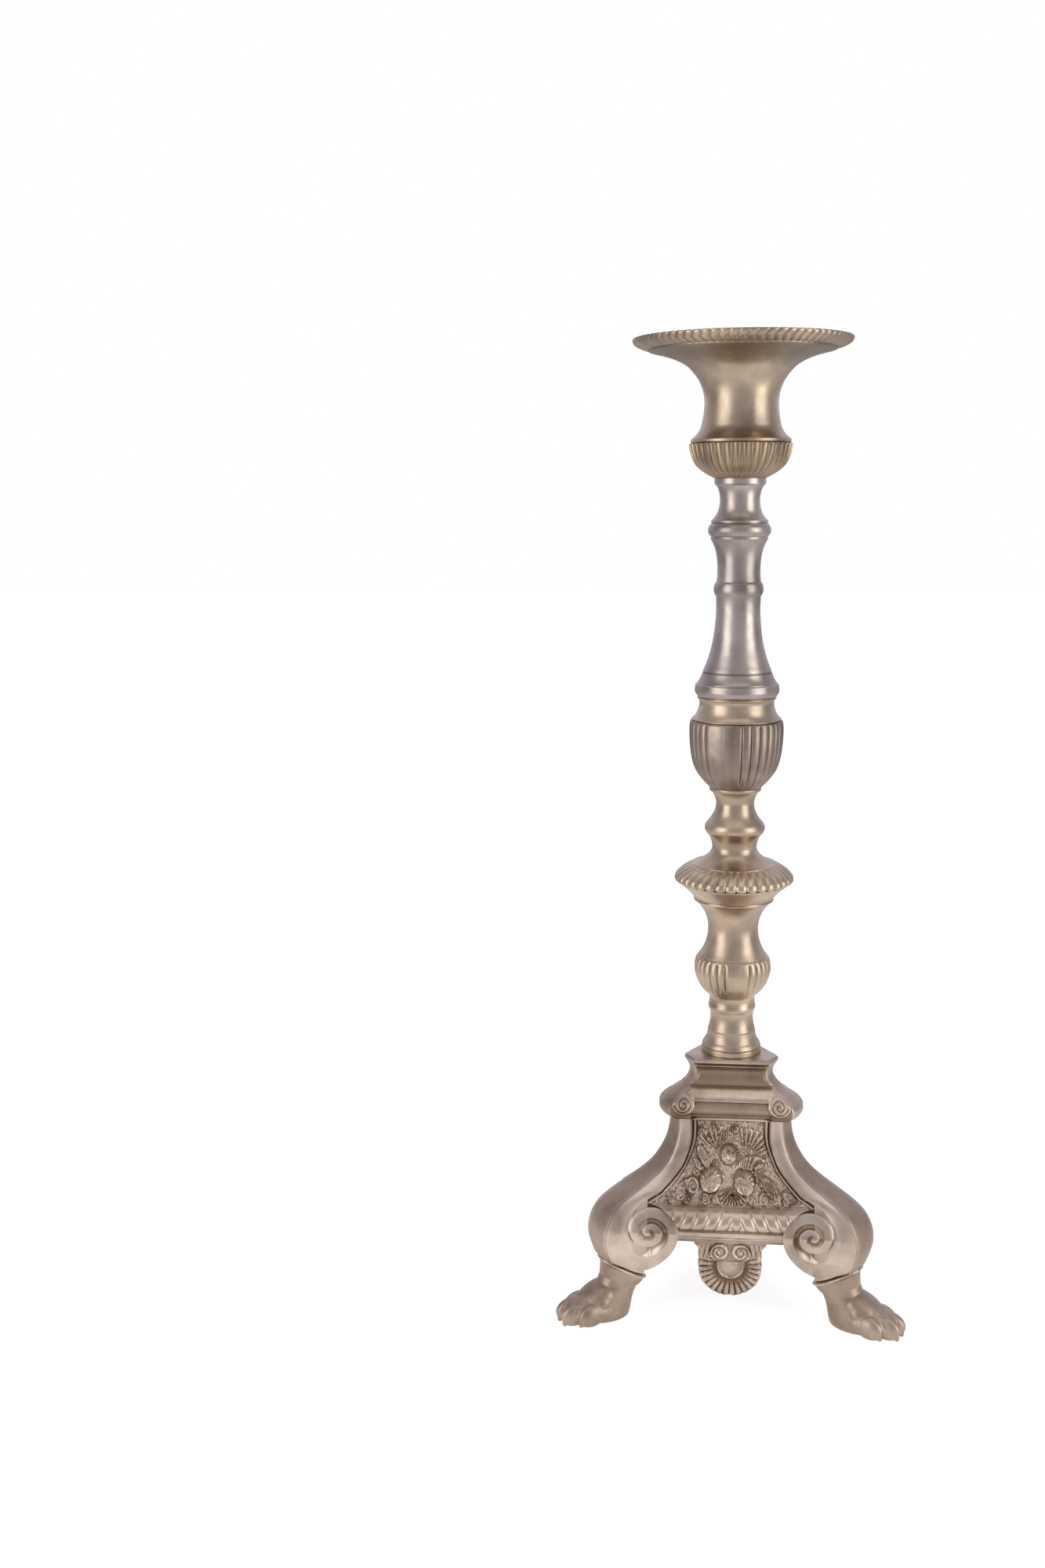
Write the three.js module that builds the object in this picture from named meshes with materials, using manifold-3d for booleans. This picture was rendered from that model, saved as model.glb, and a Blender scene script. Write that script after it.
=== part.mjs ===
// Altar candlestick: a turned brass column of hollow castings on a three-sided scroll base,
// all drawn together by one tie rod. Millimetres, +Z up. Pieces are modelled about the column's
// own axis, and the whole is then moved so that the footprint's centre is the origin.
import * as THREE from "three";
import { mergeVertices } from "three/addons/utils/BufferGeometryUtils.js";
import Module from "manifold-3d";

const wasm = await Module();
wasm.setup();

// ---------- Driving dimensions (mm) ----------
const HEIGHT = 620; // floor to drip pan rim
const JOINT = {
  plinthTop: 167, // stem foot stands on the base plinth
  footTop: 207, // stem foot to fluted knop
  knopTop: 232.4, // fluted knop to lower bell
  lowerBellTop: 280.6, // lower bell to knop stem
  knopStemTop: 342.5, // knop stem to fluted cup
  cupTop: 385.4, // fluted cup to shoulder collar
  collarTop: 400.5, // shoulder collar to upper stem
  stemTop: 536.2, // upper stem to gadroon cup
  topCupTop: 557, // gadroon cup to drip pan bell
};
const TURNED_SIDES = 20;
const PAN_SIDES = 30;
const CURVE_STEPS = 2; // chords per curved stretch of a turned outline

const ROD_R = 5;
const BORE_R = 5.6; // rod clearance hole through every turned piece
const SPIGOT = { r: 8, height: 2.5 }; // ring on each piece's top
const SOCKET = { r: 8.3, depth: 2.8 }; // recess for it in the next piece's underside
const TOUCH_GAP = 0.3; // kept where pieces meet inside a turned group

const SEAT_Z = 562; // raised land on the floor inside the bell, where the candle stands
const SEAT_R = 18.5;
const ROD = { bottom: 80, top: 576.5 };

const WALL = 5; // base castings' wall thickness
const PLINTH_BOTTOM = 131;
const PLINTH_PLATE = 6;
const ANKLE = { r: 80, z: 33, slope: 0.57 }; // paw to leg joint: a plane that rises outwards
const LEG_BOTTOM = 38.3;
const VOLUTE = { x: 50.8, z: 65, r: 18, plane: 60.7, proud: 1.6, depth: 12, lean: 0.5 };
const SCROLL_UNDERSIDE = { x: 52, halfWidth: 19, height: 26 };
const SMALL_VOLUTE = { x: 31, z: 139.5, r: 6.4, proud: 1 };
const PANEL = { recess: 2.5, thickness: 4, top: 129.5, arch: 58, shellBottom: 21.5, shellR: 20 };
const FOOT_BOLT = { r: 3, headR: 5, headHeight: 4, radius: 80, headZ: 3, top: 49.5 };
const CLAMP_Z = 100.7; // top face of the clamp plate inside the base
const CLAMP_THICKNESS = 4;

const THREE_SIDES = [
  { azimuth: 0, leg: "front_left", panel: "front" },
  { azimuth: 120, leg: "front_right", panel: "rear_right" },
  { azimuth: 240, leg: "rear", panel: "rear_left" },
];
const FIRST_LEG_AZIMUTH = -150; // degrees, front left; panels face 60 degrees further round

// ---------- Base cross-section: a hexagon with three long and three short sides ----------
// Keys are [height, value], low to high. cornerAt is the axis-to-short-side distance,
// bandAt the short side's half length, stripAt the leg's width along the panel's face.
const CORNER = [
  [38, 93], [48, 96.5], [55, 98], [62, 97.5], [70, 94.5], [76, 90], [81, 83],
  [86, 73.5], [92, 62], [98, 53.5], [107, 46.5], [116, 42.8], [131, 41],
];
const BAND = [[38, 13.5], [62, 13.5], [80, 11.8], [98, 9], [116, 7.4], [131, 6.5]];
const STRIP = [[80, 17], [88, 13.8], [93, 11.8], [102, 9.8], [113, 8.8], [131, 7.4]];
const SIN60 = Math.sin(Math.PI / 3);

function along(keys, z) {
  let i = 0;
  while (i < keys.length - 2 && z > keys[i + 1][0]) i++;
  const [z0, v0] = keys[i];
  const [z1, v1] = keys[i + 1];
  const t = Math.min(1, Math.max(0, (z - z0) / (z1 - z0)));
  return v0 + (v1 - v0) * t;
}
const cornerAt = (z) => along(CORNER, z);
const bandAt = (z) => along(BAND, z);
const faceAt = (z) => cornerAt(z) / 2 + bandAt(z) * SIN60; // axis to the long side
const ridgeAt = (z) => cornerAt(z) * SIN60 - bandAt(z) / 2; // half length of the long side

// Width of the leg's side face: a plain strip above the volute, the scroll's underside below it.
function stripAt(z) {
  if (z > VOLUTE.z + VOLUTE.r) return along(STRIP, z);
  if (z > VOLUTE.z + 1) return ridgeAt(z) - VOLUTE.x;
  const drop = Math.min(0.999, (VOLUTE.z - z) / SCROLL_UNDERSIDE.height);
  const reach = SCROLL_UNDERSIDE.halfWidth * Math.sqrt(1 - Math.max(0, drop) ** 2);
  return ridgeAt(z) - SCROLL_UNDERSIDE.x + reach;
}

// ---------- Solids ----------
function solid(geometry) {
  const bare = geometry.clone();
  bare.deleteAttribute("normal");
  bare.deleteAttribute("uv");
  const merged = mergeVertices(bare, 1e-4);
  return new wasm.Manifold(
    new wasm.Mesh({
      numProp: 3,
      vertProperties: merged.attributes.position.array,
      triVerts: new Uint32Array(merged.index.array),
    }),
  );
}

function geometryOf(manifold) {
  const mesh = manifold.getMesh();
  const geometry = new THREE.BufferGeometry();
  geometry.setAttribute("position", new THREE.BufferAttribute(mesh.vertProperties, 3));
  geometry.setIndex(new THREE.BufferAttribute(mesh.triVerts, 1));
  geometry.computeVertexNormals();
  return geometry;
}

// An outline entry is [r, z], a straight line there, or [r, z, controlR, controlZ], a curve.
function trace(outline) {
  const points = [];
  for (const [r, z, controlR, controlZ] of outline) {
    if (controlR === undefined) {
      points.push(new THREE.Vector2(r, z));
      continue;
    }
    const from = points[points.length - 1];
    const curve = new THREE.QuadraticBezierCurve(
      from.clone(),
      new THREE.Vector2(controlR, controlZ),
      new THREE.Vector2(r, z),
    );
    points.push(...curve.getPoints(CURVE_STEPS).slice(1));
  }
  return points;
}

function lathe(outline, sides = TURNED_SIDES) {
  const points = trace(outline);
  const start = points[0];
  if (start.x > 0) points.push(start.clone());
  return new THREE.LatheGeometry(points, sides).rotateX(Math.PI / 2);
}

// A hollow turned casting: outer outline from bottom to top, hollow from top to bottom,
// a socket in its underside and a spigot on its top.
function turned(outer, hollow, { sides = TURNED_SIDES, spigot = true } = {}) {
  const bottom = outer[0][1];
  const top = outer[outer.length - 1][1];
  const crown = spigot
    ? [[SPIGOT.r, top], [SPIGOT.r, top + SPIGOT.height], [BORE_R, top + SPIGOT.height]]
    : [[BORE_R, top]];
  const cavity = [[BORE_R, hollow[0][1]], ...hollow, [BORE_R, hollow[hollow.length - 1][1]]];
  const foot = [[BORE_R, bottom + SOCKET.depth], [SOCKET.r, bottom + SOCKET.depth]];
  return lathe([[SOCKET.r, bottom], ...outer, ...crown, ...cavity, ...foot], sides);
}

// A closed skin over horizontal sections, lowest first, each a list of [x, y] turning left.
function loft(sections) {
  const count = sections[0].points.length;
  const positions = [];
  for (const { z, points } of sections) for (const [x, y] of points) positions.push(x, y, z);
  const index = [];
  for (let level = 0; level < sections.length - 1; level++)
    for (let i = 0; i < count; i++) {
      const a = level * count + i;
      const b = level * count + ((i + 1) % count);
      index.push(a, b, b + count, a, b + count, a + count);
    }
  const flat = (section) => section.points.map(([x, y]) => new THREE.Vector2(x, y));
  const topStart = (sections.length - 1) * count;
  for (const [a, b, c] of THREE.ShapeUtils.triangulateShape(flat(sections[0]), []))
    index.push(c, b, a);
  for (const [a, b, c] of THREE.ShapeUtils.triangulateShape(flat(sections.at(-1)), []))
    index.push(topStart + a, topStart + b, topStart + c);
  const geometry = new THREE.BufferGeometry();
  geometry.setAttribute("position", new THREE.Float32BufferAttribute(positions, 3));
  geometry.setIndex(index);
  return geometry;
}

function drum(radius, z0, z1, sides = 16) {
  return new THREE.CylinderGeometry(radius, radius, z1 - z0, sides)
    .rotateX(Math.PI / 2)
    .translate(0, 0, (z0 + z1) / 2);
}

// A disc standing in the plane of a long side: x along the side, y its depth towards -y.
function faceDisc(x, z, radius, back, front, sides) {
  return new THREE.CylinderGeometry(radius, radius, front - back, sides)
    .translate(0, -(back + front) / 2, 0)
    .translate(x, 0, z);
}

// ---------- Column ----------
const stemFoot = () =>
  turned(
    [
      [19.2, JOINT.plinthTop], [19.3, 170], [17.4, 174.6, 19, 172.8], [15.7, 179, 16, 176.8],
      [15.5, 181.5], [13.8, 190.5, 14, 186], [14.9, 195.8, 13.9, 194],
      [14.7, 199.8, 15.8, 197.6], [14.7, 203.2], [17, JOINT.footTop, 14.9, 205.5],
    ],
    [[9.5, 202], [9.5, 173]],
  );

const flutedKnop = () =>
  turned(
    [[17, JOINT.footTop], [24.8, 222.5, 23.2, 212], [22.2, JOINT.knopTop, 24.8, 229.5]],
    [[16, 228], [20, 222], [13, 213]],
  );

const lowerBell = () =>
  turned(
    [
      [21.4, JOINT.knopTop], [16.1, 250, 16.1, 240.5], [24.3, 268.5, 16.3, 260.5], [25.4, 269.2],
      [25.6, 270.4], [36, JOINT.lowerBellTop, 28.5, 275],
    ],
    [[22, 276], [12, 256], [12, 239]],
  );

const knopStem = () =>
  turned(
    [
      [36, JOINT.lowerBellTop], [38.1, 282.6], [36.9, 286, 38.2, 284.6], [21.5, 295, 31.5, 292],
      [14.2, 303, 15, 298.5], [16.6, 311, 14.4, 308], [17.2, 311.8], [17.9, 319.6, 20.9, 315.6],
      [12.1, 331.5, 12.5, 325.5], [16.2, 340.8, 12.4, 337.5], [16.5, JOINT.knopStemTop],
    ],
    [[8.6, 338], [8.6, 296], [14, 287]],
  );

const flutedCup = () =>
  turned(
    [
      [16.6, JOINT.knopStemTop], [25.6, 353.5, 22.5, 348], [29.8, 377, 29.4, 361],
      [29.1, JOINT.cupTop, 29.9, 382],
    ],
    [[24.5, 381], [24.5, 362], [14, 349]],
  );

const shoulderCollar = () =>
  turned(
    [
      [28.4, JOINT.cupTop], [28.1, 386.6], [23.5, 396, 24.6, 389.6],
      [24.6, JOINT.collarTop, 23.5, 398.6],
    ],
    [[19, 396.5], [19, 391.5]],
  );

const upperStem = () =>
  turned(
    [
      [24.8, JOINT.collarTop], [26.7, 404.8, 26.6, 402.4], [25.9, 408.6], [25.2, 409.4],
      [22, 415.2, 23, 412], [21.8, 416], [13.8, 456, 14.4, 431], [14, 463.4], [14.7, 464.2],
      [14.6, 471.8, 16.4, 468.2], [13.9, 472.6], [14.2, 489.8, 12.7, 481],
      [17.9, 499, 15.2, 495], [18.2, 508, 20.9, 505], [17.8, 509.6],
      [12.4, 523, 12.4, 514.6], [15.7, 532.4, 12.6, 530], [15.9, JOINT.stemTop],
    ],
    [[8.6, 531], [8.6, 440], [17, 407]],
  );

const topCup = () =>
  turned(
    [
      [16.6, JOINT.stemTop], [27.8, 544.2, 23.4, 539.6], [32, JOINT.topCupTop, 31, 548.6],
    ],
    [[27, 553], [23, 546], [14, 542]],
    { sides: PAN_SIDES },
  );

function dripPanBell() {
  const lip = 65;
  return lathe(
    [
      [SOCKET.r, JOINT.topCupTop], [31.2, JOINT.topCupTop], [30.9, 559.2],
      [24.3, 569, 25.2, 563.4], [22.7, 582, 22.9, 574.5], [30.4, 600.6, 23.2, 593],
      [56.2, 612.7, 36, 608], [67.2, 618.6, 66, 614], [67.2, HEIGHT], [lip, HEIGHT],
      [56, 616.2], [27.6, 602.6, 36, 612], [20.2, 583, 20.6, 595],
      [20, SEAT_Z - 1], [SEAT_R, SEAT_Z - 1], [SEAT_R, SEAT_Z], [BORE_R, SEAT_Z],
      [BORE_R, JOINT.topCupTop + SOCKET.depth], [SOCKET.r, JOINT.topCupTop + SOCKET.depth],
    ],
    PAN_SIDES,
  );
}

// ---------- Tie rod and its fittings ----------
const WASHER = { r: 11, thickness: 1.6 };
const NUT = { r: 9.2, height: 7 };
const UNDER_PLATE = CLAMP_Z - CLAMP_THICKNESS;

const tieRod = () => drum(ROD_R, ROD.bottom, ROD.top);
const ringPiece = (radius, z0, z1) =>
  lathe([[BORE_R, z0], [radius, z0], [radius, z1], [BORE_R, z1]]);
const topWasher = () => ringPiece(WASHER.r, SEAT_Z, SEAT_Z + WASHER.thickness);
const bottomWasher = () => ringPiece(WASHER.r, UNDER_PLATE - WASHER.thickness, UNDER_PLATE);

function hexNut(z0) {
  const body = solid(new THREE.CylinderGeometry(NUT.r, NUT.r, NUT.height, 6)
    .rotateX(Math.PI / 2)
    .translate(0, 0, z0 + NUT.height / 2));
  return geometryOf(body.subtract(solid(drum(BORE_R, z0 - 1, z0 + NUT.height + 1))));
}
const topNut = () => hexNut(SEAT_Z + WASHER.thickness);
const bottomNut = () => hexNut(UNDER_PLATE - WASHER.thickness - NUT.height);

// The pricket screws down on the rod's end above the top nut.
function pricket() {
  const foot = SEAT_Z + WASHER.thickness + NUT.height;
  const tip = 608;
  return lathe(
    [
      [0, ROD.top + 0.5], [ROD_R + 0.3, ROD.top + 0.5], [ROD_R + 0.3, foot], [8, foot],
      [8, foot + 2], [6.6, foot + 8, 8, foot + 6], [0.5, tip - 0.6, 3.2, foot + 18], [0, tip],
    ],
    16,
  );
}

// ---------- Base ----------
const PLINTH_CORNER = [
  [131, 47.6], [133, 49.1], [135.5, 49.4], [138, 48.8], [140, 47.4], [143.4, 43.3], [147, 37],
  [150.3, 32.6], [154, 29.4], [157, 28.4], [161, 29.4], [164, 30.9], [165.5, 31.4], [167, 31],
];
const PLINTH_BAND = [
  [131, 6.8], [136, 7.4], [143, 7.2], [147, 6.4], [151, 5.6], [158, 4.8], [163.5, 5.7], [167, 5.8],
];
const PLINTH_HOLLOW_TOP = JOINT.plinthTop - PLINTH_PLATE;

// Hexagon with short sides at the three leg azimuths.
function hexagon(corner, band) {
  const points = [];
  for (const { azimuth } of THREE_SIDES) {
    const angle = THREE.MathUtils.degToRad(FIRST_LEG_AZIMUTH + azimuth);
    for (const side of [-band, band])
      points.push([
        corner * Math.cos(angle) - side * Math.sin(angle),
        corner * Math.sin(angle) + side * Math.cos(angle),
      ]);
  }
  return points;
}

function plinth() {
  const heights = PLINTH_CORNER.map(([z]) => z);
  const outerSections = heights.map((z) => ({
    z,
    points: hexagon(along(PLINTH_CORNER, z), along(PLINTH_BAND, z)),
  }));
  const hollowHeights = heights.filter((z) => z < PLINTH_HOLLOW_TOP);
  const innerHeights = [PLINTH_BOTTOM - 1, ...hollowHeights, PLINTH_HOLLOW_TOP];
  const innerSections = innerHeights.map((z) => ({
    z,
    points: hexagon(along(PLINTH_CORNER, z) - WALL, along(PLINTH_BAND, z) - WALL / 2),
  }));
  let body = solid(loft(outerSections));
  for (const { azimuth } of THREE_SIDES)
    for (const side of [-1, 1]) {
      const face = along(PLINTH_CORNER, SMALL_VOLUTE.z) / 2 + along(PLINTH_BAND, SMALL_VOLUTE.z) * SIN60;
      const disc = faceDisc(side * SMALL_VOLUTE.x, SMALL_VOLUTE.z, SMALL_VOLUTE.r,
        face - WALL + 1, face + SMALL_VOLUTE.proud, 12);
      disc.rotateZ(THREE.MathUtils.degToRad(azimuth));
      body = body.add(solid(disc));
    }
  body = body.subtract(solid(loft(innerSections)));
  body = body.add(solid(drum(SPIGOT.r, JOINT.plinthTop - 1, JOINT.plinthTop + SPIGOT.height)));
  body = body.subtract(solid(drum(BORE_R, PLINTH_HOLLOW_TOP - 1, JOINT.plinthTop + 4)));
  return geometryOf(body);
}

// Leg, in its own frame with +x outwards: an angle-shaped wall whose outer band faces outwards
// and whose two side faces lie along the neighbouring panels.
function legSection(z) {
  const c = cornerAt(z);
  const w = bandAt(z);
  const s = stripAt(z);
  const innerBand = w - WALL * Math.tan(Math.PI / 6);
  const end = [c - SIN60 * s, w + s / 2];
  const endInner = [end[0] - WALL / 2, end[1] - WALL * SIN60];
  const half = [[c, w], end, endInner, [c - WALL, innerBand]];
  const mirrored = half.map(([x, y]) => [x, -y]).reverse();
  return { z, points: [...mirrored.slice(-1), ...half, ...mirrored.slice(0, -1)] };
}

// Keeps what lies above (side 1) or below (side -1) the ankle joint, in the leg's frame.
function ankleCut(body, side) {
  const length = Math.hypot(ANKLE.slope, 1);
  const level = ANKLE.z - ANKLE.slope * ANKLE.r + (side > 0 ? TOUCH_GAP : 0);
  const normal = [(-side * ANKLE.slope) / length, 0, side / length];
  return body.trimByPlane(normal, (side * level) / length);
}

// The volute's disc, its front leaning back above the eye, beside a leg that points along +x.
function voluteDisc(side) {
  const front = VOLUTE.plane + VOLUTE.proud;
  const disc = faceDisc(VOLUTE.x, VOLUTE.z, VOLUTE.r, VOLUTE.plane - VOLUTE.depth, front, 22);
  const length = Math.hypot(1, VOLUTE.lean);
  const level = -(front + VOLUTE.lean * VOLUTE.z) / length;
  const leaning = solid(disc).trimByPlane([0, 1 / length, -VOLUTE.lean / length], level);
  const beside = leaning.rotate([0, 0, 30]);
  return side > 0 ? beside.mirror([0, 1, 0]) : beside;
}

function leg() {
  const heights = [LEG_BOTTOM, 41, 45, 50, 56, VOLUTE.z, VOLUTE.z + 1.5, 73, 79,
    VOLUTE.z + VOLUTE.r + 0.5, 88, 93, 98, 103, 110, 120, PLINTH_BOTTOM - TOUCH_GAP];
  let body = solid(loft(heights.map(legSection)));
  for (const side of [-1, 1]) body = body.add(voluteDisc(side));
  // Solid ankle for the foot bolt, a clamp lug, and a tenon that stands inside the plinth.
  const ankle = solid(
    new THREE.CylinderGeometry(13.2, 13.2, 34, 20).rotateX(Math.PI / 2)
      .scale(1.12, 1, 1).translate(80.2, 0, 37),
  );
  const lug = solid(new THREE.BoxGeometry(24, 10, 6).translate(38, 0, CLAMP_Z + TOUCH_GAP + 3));
  const tenon = solid(new THREE.BoxGeometry(7, 9, 26).translate(33, 0, 129));
  body = ankleCut(body.add(ankle), 1).add(lug).add(tenon);
  const hole = drum(FOOT_BOLT.r + TOUCH_GAP, 15, 58, 12);
  return geometryOf(body.subtract(solid(hole.translate(FOOT_BOLT.radius, 0, 0))));
}

// Relief panel, facing -y: a curved plate that follows the long side, ending below in a
// gadroon moulding, an arched apron and a hanging shell.
const APRON_PLANE = VOLUTE.plane - 2;
const MOULDING = [
  [62, APRON_PLANE], [63, 60.3], [65.5, 60.3], [66.2, 58.8], [68, 59.6], [72, 61.4],
  [76.5, 60.6], [79, 57.5], [79.6, 51.5],
];
const SHELL_TOP = PANEL.arch - 0.6;
const SHELL_CENTRE = PANEL.shellBottom + PANEL.shellR;

function panelHalfWidth(z) {
  if (z < SHELL_CENTRE) return Math.sqrt(PANEL.shellR ** 2 - (SHELL_CENTRE - z) ** 2);
  if (z < PANEL.arch) return PANEL.shellR;
  const clear = VOLUTE.r + TOUCH_GAP + 0.2;
  const rise = Math.abs(z - VOLUTE.z);
  if (rise < clear) return VOLUTE.x - Math.sqrt(clear ** 2 - rise ** 2);
  return ridgeAt(z) - along(STRIP, z) - TOUCH_GAP;
}

function panelSection(z) {
  const half = panelHalfWidth(z);
  let front = faceAt(z) - PANEL.recess;
  if (z <= MOULDING.at(-1)[0]) front = along(MOULDING, z);
  const back = Math.min(front, faceAt(z) - PANEL.recess) - PANEL.thickness;
  return { z, points: [[-half, -front], [half, -front], [half, -back], [-half, -back]] };
}

function panel() {
  const shell = [0.4, 1.6, 4, 8, 13, PANEL.shellR].map((rise) => PANEL.shellBottom + rise);
  const skirt = [SHELL_TOP, PANEL.arch, ...MOULDING.map(([z]) => z)];
  const picture = [81, 83.6, 86, 89, 93, 98, 103, 110, 120, PANEL.top];
  return loft([...shell, ...skirt, ...picture].map(panelSection));
}

// Lion's paw, in the leg's frame: heel towards the axis, toes outwards.
const PAW = [
  // height, heel radius, toe radius, half width
  [0, 72, 122, 13.6], [3, 70, 127, 15], [9, 69, 128, 15.2], [14, 68.5, 124, 15],
  [18, 68, 115, 14.4], [23, 67, 107, 13.8], [29, 65.5, 101, 13.4], [35, 65, 97.5, 13.2],
  [38, 65, 96, 13.2], [46, 65, 95, 13.2],
];
const PAW_SIDES = 16;

function paw() {
  const sections = PAW.map(([z, heel, toe, half]) => {
    const centre = (heel + toe) / 2;
    const reach = (toe - heel) / 2;
    const points = Array.from({ length: PAW_SIDES }, (_, i) => {
      const angle = (2 * Math.PI * i) / PAW_SIDES;
      return [centre + reach * Math.cos(angle), half * Math.sin(angle)];
    });
    return { z, points };
  });
  const shaft = drum(FOOT_BOLT.r + TOUCH_GAP, -1, 48, 12);
  const headTop = FOOT_BOLT.headZ + FOOT_BOLT.headHeight + TOUCH_GAP;
  const headRoom = drum(FOOT_BOLT.headR + TOUCH_GAP, -1, headTop, 12);
  const cut = solid(shaft).add(solid(headRoom)).translate([FOOT_BOLT.radius, 0, 0]);
  return geometryOf(ankleCut(solid(loft(sections)), -1).subtract(cut));
}

function footBolt() {
  const neck = FOOT_BOLT.headZ + FOOT_BOLT.headHeight;
  return lathe(
    [
      [0, FOOT_BOLT.headZ], [FOOT_BOLT.headR, FOOT_BOLT.headZ], [FOOT_BOLT.headR, neck],
      [FOOT_BOLT.r, neck], [FOOT_BOLT.r, FOOT_BOLT.top], [0, FOOT_BOLT.top],
    ],
    12,
  ).translate(FOOT_BOLT.radius, 0, 0);
}

function clampPlate() {
  const outline = hexagon(34, 8);
  const plate = solid(loft([{ z: UNDER_PLATE, points: outline }, { z: CLAMP_Z, points: outline }]));
  return geometryOf(plate.subtract(solid(drum(BORE_R, UNDER_PLATE - 1, CLAMP_Z + 1))));
}

// ---------- Materials and assembly ----------
const metal = (color, roughness, metalness = 1) =>
  new THREE.MeshStandardMaterial({ color, roughness, metalness });
const FINISH = {
  goldenBrass: () => metal(0x9c8358, 0.34),
  greyBrass: () => metal(0x7d735f, 0.36),
  baseBrass: () => metal(0x8a745a, 0.42),
  steel: () => metal(0x8f9092, 0.45),
};

const candlestick = new THREE.Group();

function place(name, geometry, finish, parent = candlestick) {
  const mesh = new THREE.Mesh(geometry, FINISH[finish]());
  mesh.name = name;
  parent.add(mesh);
}

place("pricket_spike", pricket(), "goldenBrass");
place("top_nut", topNut(), "steel");
place("top_washer", topWasher(), "steel");
place("drip_pan_bell", dripPanBell(), "goldenBrass");
place("top_gadroon_cup", topCup(), "greyBrass");
place("upper_stem", upperStem(), "greyBrass");
place("shoulder_collar", shoulderCollar(), "goldenBrass");
place("fluted_cup", flutedCup(), "greyBrass");
place("knop_stem", knopStem(), "goldenBrass");
place("lower_bell", lowerBell(), "goldenBrass");
place("fluted_knop", flutedKnop(), "goldenBrass");
place("stem_foot", stemFoot(), "goldenBrass");
place("tie_rod", tieRod(), "steel");
place("base_plinth", plinth(), "baseBrass");
place("clamp_plate", clampPlate(), "steel");
place("bottom_washer", bottomWasher(), "steel");
place("bottom_nut", bottomNut(), "steel");

for (const { azimuth, leg: legSide, panel: panelSide } of THREE_SIDES) {
  const corner = new THREE.Group();
  corner.rotation.z = THREE.MathUtils.degToRad(FIRST_LEG_AZIMUTH + azimuth);
  place(`${legSide}_scroll_leg`, leg(), "baseBrass", corner);
  place(`${legSide}_paw_foot`, paw(), "baseBrass", corner);
  place(`${legSide}_foot_bolt`, footBolt(), "steel", corner);
  const side = new THREE.Group();
  side.rotation.z = THREE.MathUtils.degToRad(azimuth);
  place(`${panelSide}_relief_panel`, panel(), "baseBrass", side);
  candlestick.add(corner, side);
}

// The origin is the centre of the footprint's box on the surface the feet stand on.
const footprint = new THREE.Box3().setFromObject(candlestick, true);
const middle = footprint.getCenter(new THREE.Vector3());
candlestick.position.set(-middle.x, -middle.y, -footprint.min.z);

export default candlestick;
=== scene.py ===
"""Altar candlestick: fine meshes and aged-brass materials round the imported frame.

Shapes are worked out in millimetres about the column's axis and moved into the frame's metres
when a mesh is made. Angles round the column start at +x; the front relief panel faces -y.
"""

import math

import bpy
import numpy as np
from mathutils import Matrix, Vector, noise


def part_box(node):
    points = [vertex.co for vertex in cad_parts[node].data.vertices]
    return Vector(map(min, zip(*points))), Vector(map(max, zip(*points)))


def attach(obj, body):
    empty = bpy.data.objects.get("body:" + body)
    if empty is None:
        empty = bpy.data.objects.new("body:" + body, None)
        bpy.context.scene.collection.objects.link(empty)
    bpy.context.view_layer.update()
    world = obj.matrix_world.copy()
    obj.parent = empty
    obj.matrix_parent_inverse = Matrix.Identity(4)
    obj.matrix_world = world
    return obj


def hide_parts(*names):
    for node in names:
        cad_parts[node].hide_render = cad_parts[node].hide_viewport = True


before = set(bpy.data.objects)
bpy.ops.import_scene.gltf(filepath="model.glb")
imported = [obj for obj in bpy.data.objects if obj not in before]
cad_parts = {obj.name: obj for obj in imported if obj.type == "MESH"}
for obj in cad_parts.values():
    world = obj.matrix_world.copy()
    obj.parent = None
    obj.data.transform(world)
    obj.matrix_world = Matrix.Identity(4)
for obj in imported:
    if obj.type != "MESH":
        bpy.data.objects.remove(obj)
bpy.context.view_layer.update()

MM = 0.001
SIN60 = math.sin(math.pi / 3)
THIRD = 2 * math.pi / 3


def middle(node):
    low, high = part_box(node)
    return (low + high) / 2


ROD = middle("tie_rod")
AXIS = Vector((ROD.x, ROD.y, 0))


def bottom_of(node):
    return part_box(node)[0].z / MM


# Joint heights come from the frame: each turned piece starts where its CAD node does.
Z_FOOT = bottom_of("stem_foot")
Z_KNOP = bottom_of("fluted_knop")
Z_LOWER_BELL = bottom_of("lower_bell")
Z_KNOP_STEM = bottom_of("knop_stem")
Z_CUP = bottom_of("fluted_cup")
Z_COLLAR = bottom_of("shoulder_collar")
Z_STEM = bottom_of("upper_stem")
Z_TOP_CUP = bottom_of("top_gadroon_cup")
Z_BELL = bottom_of("drip_pan_bell")
Z_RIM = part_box("drip_pan_bell")[1].z / MM
Z_PLINTH = bottom_of("base_plinth")
Z_SEAT = bottom_of("top_washer")

BORE = 5.6  # hole for the tie rod
SPIGOT_R, SPIGOT_H = 8.0, 2.5  # on top of each casting
SOCKET_R, SOCKET_D = 8.3, 2.8  # in the foot of the next one
WORN = 0.6  # wear of plain metal: 0 darkens it, for dirt in hollows and for painted shade, 1 is a rubbed edge
INSIDE = 0.3  # wear of the backs that nobody polishes


# ---- small maths

def smoothstep(low, high, x):
    t = np.clip((x - low) / (high - low), 0, 1)
    return t * t * (3 - 2 * t)


def between(x, rise_from, rise_to, fall_from, fall_to):
    """1 between two smooth steps, 0 outside them."""
    return smoothstep(rise_from, rise_to, x) * (1 - smoothstep(fall_from, fall_to, x))


def turns(theta, count):
    """Phase of count equal waves round the column."""
    return theta / (2 * math.pi) * count


def lobe(phase):
    """Round-topped waves with sharp valleys, 0 to 1, one per unit of phase."""
    return np.sqrt(np.clip(1 - (2 * (phase % 1.0) - 1) ** 2, 0, 1))


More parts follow.
